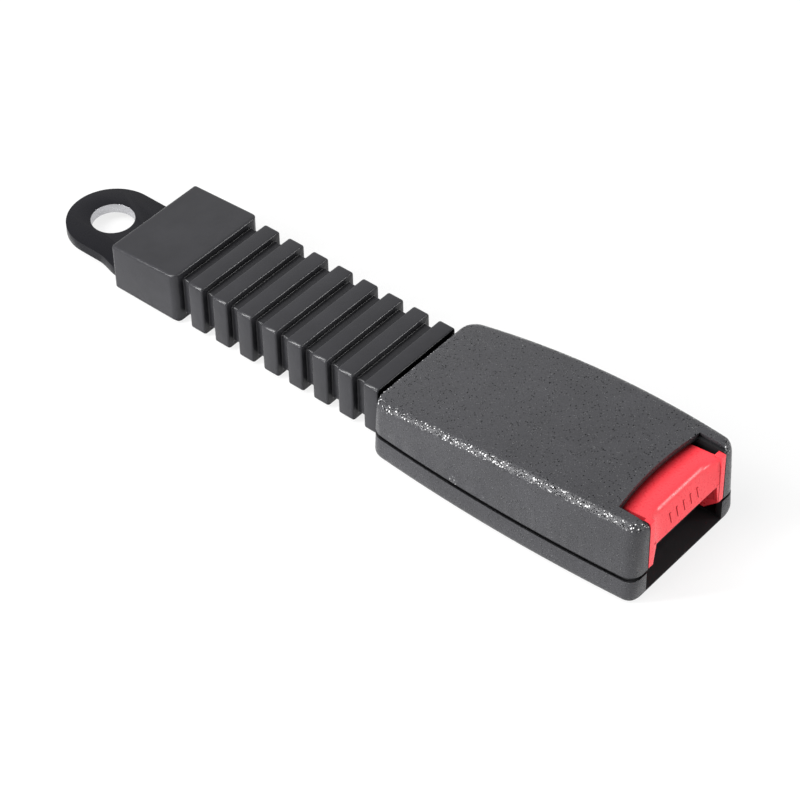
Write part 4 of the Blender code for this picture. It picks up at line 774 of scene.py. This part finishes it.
def spread(nodes, links, value, low, high, from_low=0.3, from_high=0.7):
    remap = nodes.new("ShaderNodeMapRange")
    remap.inputs["From Min"].default_value = from_low
    remap.inputs["From Max"].default_value = from_high
    remap.inputs["To Min"].default_value = low
    remap.inputs["To Max"].default_value = high
    links.new(value, remap.inputs["Value"])
    return remap.outputs["Result"]


def painted_crevice_shade(nodes, links, reach):
    """Painted shade: nearly 1 on open surfaces and low in grooves and gaps, where it darkens the colour and
    the gloss.
    """
    occlusion = nodes.new("ShaderNodeAmbientOcclusion")
    occlusion.samples = PAINTED_SHADE_SAMPLES
    occlusion.inputs["Distance"].default_value = reach
    return spread(nodes, links, occlusion.outputs["AO"], 0.06, 1.0, 0.42, 0.92)


def grain_height(nodes, links, coordinates, scale, kind):
    """Height of one layer of grain: plain noise, or sparse peaks of noise that stand as specks."""
    if kind == "specks":
        return spread(nodes, links, noise(nodes, links, coordinates, scale, 1.0), 0.0, 1.0, 0.60, 0.78)
    return noise(nodes, links, coordinates, scale, 2.0, 0.6)


def math_node(nodes, links, operation, first, second):
    """One operation on two sockets, or on a socket and a plain number."""
    node = nodes.new("ShaderNodeMath")
    node.operation = operation
    links.new(first, node.inputs[0])
    if isinstance(second, float):
        node.inputs[1].default_value = second
    else:
        links.new(second, node.inputs[1])
    return node.outputs["Value"]


def upward(nodes, links):
    """How far the surface looks up, from -1 to 1."""
    normal = nodes.new("ShaderNodeSeparateXYZ")
    links.new(nodes.new("ShaderNodeNewGeometry").outputs["Normal"], normal.inputs["Vector"])
    return normal.outputs["Z"]


def on_top(nodes, links):
    """1 on the faces that look up and 0 on the sides; it keeps the painted glints and painted shade dots to
    the tops.
    """
    return spread(nodes, links, upward(nodes, links), 0.0, 1.0, 0.3, 0.8)


def on_rounded_edge(nodes, links):
    """1 on a rounded upper edge and 0 on flat tops and sides; it keeps the painted glints and painted shade
    dots to these edges.
    """
    slope = upward(nodes, links)
    above = spread(nodes, links, slope, 0.0, 1.0, 0.3, 0.5)
    return math_node(nodes, links, "MULTIPLY", above, spread(nodes, links, slope, 1.0, 0.0, 0.86, 0.97))


def speck_mask(nodes, links, coordinates, scale, radius, share, place):
    """Small dots in a share of the cells, where the place lets them show."""
    cells = nodes.new("ShaderNodeTexVoronoi")
    cells.inputs["Scale"].default_value = scale
    links.new(coordinates, cells.inputs["Vector"])
    colour = nodes.new("ShaderNodeSeparateColor")
    links.new(cells.outputs["Color"], colour.inputs["Color"])
    dots = math_node(nodes, links, "LESS_THAN", cells.outputs["Distance"], radius)
    chosen = math_node(nodes, links, "LESS_THAN", colour.outputs["Red"], share)
    mask = math_node(nodes, links, "MULTIPLY", dots, chosen)
    return math_node(nodes, links, "MULTIPLY", mask, place(nodes, links))


def grey(level):
    return (level, level, level, 1.0)


def colour_mix(nodes, links, factor, first, second):
    """A blend of two colours, each a socket or a plain colour."""
    mix = nodes.new("ShaderNodeMix")
    mix.data_type = "RGBA"
    links.new(factor, mix.inputs["Factor"])
    for name, source in (("A", first), ("B", second)):
        if isinstance(source, tuple):
            mix.inputs[name].default_value = source
        else:
            links.new(source, mix.inputs[name])
    return mix.outputs["Result"]


def shaded_colour(nodes, links, colour, light):
    """A colour darkened by a share of light."""
    mix = nodes.new("ShaderNodeMix")
    mix.data_type = "RGBA"
    mix.blend_type = "MULTIPLY"
    mix.inputs["Factor"].default_value = 1.0
    links.new(colour, mix.inputs["A"])
    links.new(light, mix.inputs["B"])
    return mix.outputs["Result"]


def surface(name, colour, roughness, metallic=0.0, specular=0.5, colour_swing=0.15, roughness_swing=0.06,
            grain=(), painted_shade_reach=0.0, specks=(), painted_shade_dots=()):
    """A finish with drifting colour and roughness, a bump built from layers of grain, and painted shade in
    crevices.

    Each layer of grain is (cells per metre, depth in metres, kind of cell).
    Each kind of speck is a painted glint: (brightness, cells per metre, radius in cells, share of the cells,
    place), and each kind of painted shade dot is the same without the brightness.
    """
    material, nodes, links = node_tree(name)
    shader = nodes["Principled BSDF"]
    shader.inputs["Metallic"].default_value = metallic
    shader.inputs["Specular IOR Level"].default_value = specular
    coordinates = nodes.new("ShaderNodeTexCoord").outputs["Object"]
    drift = noise(nodes, links, coordinates, DRIFT_SCALE, 4.0)
    fine = noise(nodes, links, coordinates, FINE_SCALE, 2.0)
    darker = (*[channel * (1 - colour_swing) for channel in colour], 1.0)
    lighter = (*[min(channel * (1 + colour_swing), 1.0) for channel in colour], 1.0)
    base = colour_mix(nodes, links, spread(nodes, links, drift, 0.0, 1.0), darker, lighter)
    # Painted glints: bright dots in the base colour
    for brightness, *kind in specks:
        dots = speck_mask(nodes, links, coordinates, *kind)
        base = colour_mix(nodes, links, dots, base, grey(brightness))
    # Painted shade: the colour and the gloss darken in crevices and in the painted shade dots
    if painted_shade_reach:
        light = painted_crevice_shade(nodes, links, painted_shade_reach)
        # Painted shade dots deepen the painted shade
        for kind in painted_shade_dots:
            dots = speck_mask(nodes, links, coordinates, *kind)
            light = math_node(nodes, links, "MULTIPLY", light, spread(nodes, links, dots, 1.0, 0.0, 0.0, 1.0))
        base = shaded_colour(nodes, links, base, light)
        gloss = spread(nodes, links, light, 0.0, specular, 0.0, 1.0)
        links.new(gloss, shader.inputs["Specular IOR Level"])
    links.new(base, shader.inputs["Base Color"])
    links.new(spread(nodes, links, fine, roughness - roughness_swing, roughness + roughness_swing),
              shader.inputs["Roughness"])
    normal = None
    for scale, depth, kind in grain:
        bump = nodes.new("ShaderNodeBump")
        bump.inputs["Strength"].default_value = 1.0
        bump.inputs["Distance"].default_value = depth
        links.new(grain_height(nodes, links, coordinates, scale, kind), bump.inputs["Height"])
        if normal:
            links.new(normal, bump.inputs["Normal"])
        normal = bump.outputs["Normal"]
        links.new(normal, shader.inputs["Normal"])
    return material


def dress(item, material, body, slot_name, *nodes):
    item.data.materials.clear()
    item.data.materials.append(material)
    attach(item, body)
    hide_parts(*nodes)


def inside_cover(point, front_corner):
    """Whether a point lies deeper than the skin under the outer form of the covers."""
    x, across, height = point
    from_rear = x - BUCKLE_START
    from_front = BUCKLE_END - x
    side_drop = edge_drop(from_rear, REAR_CORNER) + edge_drop(from_front, front_corner)
    roof_drop = edge_drop(from_rear, REAR_TOP_EDGE) + edge_drop(from_front, FRONT_TOP_EDGE)
    to_side = half_width_at(x, height) - side_drop - abs(across)
    to_roof = cover_top_at(x) - roof_drop - height
    return min(from_rear, from_front, to_side, to_roof, height) > SKIN


def worn_plate(point):
    """Whether a point lies on the bolt hole's wall or on the sheared lower edge of the plate."""
    on_hole = (point.xy - Vector((EYE_CENTRE, 0.0))).length < BOLT_HOLE_RADIUS + WORN_RIM
    return on_hole or SHEAR_MARGIN < point.z - PLATE_LOW.z < PLATE_BEVEL


def second_finish(item, material, chosen):
    """Give the faces whose middle passes the test the second material."""
    item.data.materials.append(material)
    for face in item.data.polygons:
        if chosen(face.center):
            face.material_index = 1


def paint(node, material):
    mesh = NODES[node].data
    mesh.materials.clear()
    mesh.materials.append(material)


def build_materials():
    # Painted glints on the tops and rounded upper edges of the covers, and painted shade dots beside them
    top_painted_glints = (0.4, 1700.0, 0.22, 0.13, on_top)
    edge_painted_glints = (0.9, 2300.0, 0.38, 0.28, on_rounded_edge)
    top_painted_shade_dots = (1700.0, 0.27, 0.24, on_top)
    edge_painted_shade_dots = (2500.0, 0.42, 0.4, on_rounded_edge)
    return {
        "cover": surface(
            "grained_cover", (0.034, 0.034, 0.038), 0.27, specular=0.38,
            colour_swing=0.12, roughness_swing=0.08,
            grain=((1400.0, 0.00006, "noise"), (2900.0, 0.00009, "noise"), (2000.0, 0.00022, "specks")),
            painted_shade_reach=2.6 * MM, specks=(top_painted_glints, edge_painted_glints), painted_shade_dots=(top_painted_shade_dots, edge_painted_shade_dots)),
        # A darker copy of the cover plastic for its inner faces: painted shade
        "inside": surface(
            "cover_inside_painted_shade", (0.010, 0.010, 0.011), 0.5, specular=0.2, grain=((1500.0, 0.00002, "noise"),)),
        "sleeve": surface(
            "satin_sleeve", (0.025, 0.025, 0.028), 0.2, specular=0.22, colour_swing=0.12,
            grain=((240.0, 0.0001, "noise"), (1500.0, 0.000008, "noise")), painted_shade_reach=2.8 * MM),
        "paint": surface(
            "black_paint", (0.0045, 0.0045, 0.0065), 0.30, specular=0.14, colour_swing=0.2,
            grain=((900.0, 0.00002, "noise"),), painted_shade_reach=1.0 * MM),
        "worn": surface(
            "worn_rim", (0.5, 0.5, 0.52), 0.3, metallic=0.9, grain=((1400.0, 0.00003, "noise"),)),
        "red": surface(
            "red_button", (0.87, 0.042, 0.058), 0.30, colour_swing=0.04,
            grain=((1600.0, 0.000006, "noise"),), painted_shade_reach=1.2 * MM),
        "steel": surface(
            "plated_steel", (0.55, 0.55, 0.53), 0.34, metallic=1.0, grain=((1800.0, 0.000012, "noise"),)),
        "rope": surface(
            "rope_steel", (0.45, 0.45, 0.45), 0.4, metallic=1.0, grain=((1500.0, 0.0001, "noise"),)),
        "crimp": surface(
            "crimp_metal", (0.6, 0.6, 0.6), 0.45, metallic=1.0, grain=((1200.0, 0.00003, "noise"),)),
        "spring": surface(
            "spring_steel", (0.5, 0.5, 0.5), 0.28, metallic=1.0, grain=((2400.0, 0.00001, "noise"),)),
        "guide": surface(
            "guide_plastic", (0.012, 0.012, 0.013), 0.5, grain=((1500.0, 0.00002, "noise"),)),
        "acetal": surface(
            "ejector_acetal", (0.7, 0.69, 0.65), 0.4, grain=((900.0, 0.00001, "noise"),)),
    }


def background_rays(nodes, links):
    """1 for the rays that show the background: seen straight, in a reflection or through glass."""
    rays = nodes.new("ShaderNodeLightPath")
    seen = math_node(nodes, links, "MAXIMUM", rays.outputs["Is Camera Ray"], rays.outputs["Is Glossy Ray"])
    return math_node(nodes, links, "MAXIMUM", seen, rays.outputs["Is Transmission Ray"])


def build_floor():
    """A pale floor that fades into the white background and keeps the object's shadow."""
    bpy.ops.mesh.primitive_plane_add(size=FLOOR_SIZE, location=(0.0, 0.0, -FLOOR_DROP))
    floor = bpy.context.object
    floor.name = "studio_floor"
    material, nodes, links = node_tree("studio_floor")
    nodes.remove(nodes["Principled BSDF"])
    diffuse = nodes.new("ShaderNodeBsdfDiffuse")
    diffuse.inputs["Color"].default_value = grey(FLOOR_GREY)
    glow = nodes.new("ShaderNodeEmission")
    glow.inputs["Color"].default_value = WHITE
    share = math_node(nodes, links, "MULTIPLY", background_rays(nodes, links), FLOOR_GLOW)
    mix = nodes.new("ShaderNodeMixShader")
    links.new(share, mix.inputs["Fac"])
    links.new(diffuse.outputs["BSDF"], mix.inputs[1])
    links.new(glow.outputs["Emission"], mix.inputs[2])
    links.new(mix.outputs["Shader"], nodes["Material Output"].inputs["Surface"])
    floor.data.materials.append(material)


def build_world():
    world = bpy.data.worlds.new("studio")
    world.use_nodes = True
    bpy.context.scene.world = world
    nodes, links = world.node_tree.nodes, world.node_tree.links
    background = nodes["Background"]
    background.inputs["Color"].default_value = WHITE
    strength = spread(nodes, links, background_rays(nodes, links), WORLD_FILL, 1.0, 0.0, 1.0)
    links.new(strength, background.inputs["Strength"])


def build_lights():
    for name, direction, distance, size, power in SOFTBOXES:
        light = bpy.data.lights.new(name, "AREA")
        light.shape = "RECTANGLE"
        light.size, light.size_y = size
        light.energy = power
        item = link(bpy.data.objects.new(name, light))
        away = Vector(direction).normalized()
        item.location = away * distance
        item.rotation_euler = away.to_track_quat("Z", "Y").to_euler()


def camera_axes():
    azimuth = math.radians(CAMERA_AZIMUTH)
    elevation = math.radians(CAMERA_ELEVATION)
    roll = math.radians(CAMERA_ROLL)
    right = Vector((math.cos(azimuth), math.sin(azimuth), 0.0))
    forward = Vector((-math.sin(azimuth) * math.cos(elevation), math.cos(azimuth) * math.cos(elevation),
                      -math.sin(elevation)))
    above = right.cross(forward)
    rolled_right = right * math.cos(roll) + above * math.sin(roll)
    rolled_up = above * math.cos(roll) - right * math.sin(roll)
    return rolled_right, rolled_up, forward


def build_camera():
    right, above, forward = camera_axes()
    aim = Vector((EYE_CENTRE, 0.0, 0.0)) + AIM_FROM_HOLE
    place = aim - right * CAMERA_SIDE_SHIFT - above * CAMERA_RISE - forward * CAMERA_DISTANCE
    data = bpy.data.cameras.new("photo_camera")
    data.sensor_fit = "HORIZONTAL"
    data.sensor_width = SENSOR_WIDTH
    data.lens = SENSOR_WIDTH * CAMERA_FOCAL_PIXELS / PHOTO_SIZE
    data.clip_start = CAMERA_CLIP_START
    item = link(bpy.data.objects.new("photo_camera", data))
    rotation = Matrix((right, above, -forward)).transposed()
    item.matrix_world = Matrix.Translation(place) @ rotation.to_4x4()
    bpy.context.scene.camera = item


def main():
    finishes = build_materials()
    plate = build_plate()
    dress(plate, finishes["paint"], "root", "black_paint", "anchor_plate")
    second_finish(plate, finishes["worn"], worn_plate)
    dress(build_sleeve(), finishes["sleeve"], "root", "sleeve_plastic", "ribbed_sleeve")
    upper = build_upper()
    dress(upper, finishes["cover"], "root", "cover_plastic", "upper_cover")
    # The inner faces get the darker copy of the plastic as painted shade
    second_finish(upper, finishes["inside"], lambda middle: inside_cover(middle, FRONT_CORNER))
    lower = build_lower()
    dress(lower, finishes["cover"], "root", "lower_plastic", "lower_cover")
    # The inner faces get the darker copy of the plastic as painted shade
    second_finish(lower, finishes["inside"], lambda middle: inside_cover(middle, LOWER_FRONT_CORNER))
    dress(build_button(), finishes["red"], "button", "button_plastic", "press_button")
    for node in ("buckle_frame", "cable_saddle", "saddle_rivet", "latch", "latch_pivot_pin",
                 "spring_bridge", "ferrule_rivet_front", "ferrule_rivet_rear"):
        paint(node, finishes["steel"])
    paint("cable_loop", finishes["rope"])
    paint("cable_ferrule", finishes["crimp"])
    paint("tongue_guide", finishes["guide"])
    paint("ejector", finishes["acetal"])
    for node in ("button_spring_left", "button_spring_right", "latch_spring", "ejector_spring"):
        paint(node, finishes["spring"])
    build_floor()
    build_world()
    build_lights()
    build_camera()
    bpy.context.scene.view_settings.view_transform = "Standard"


main()
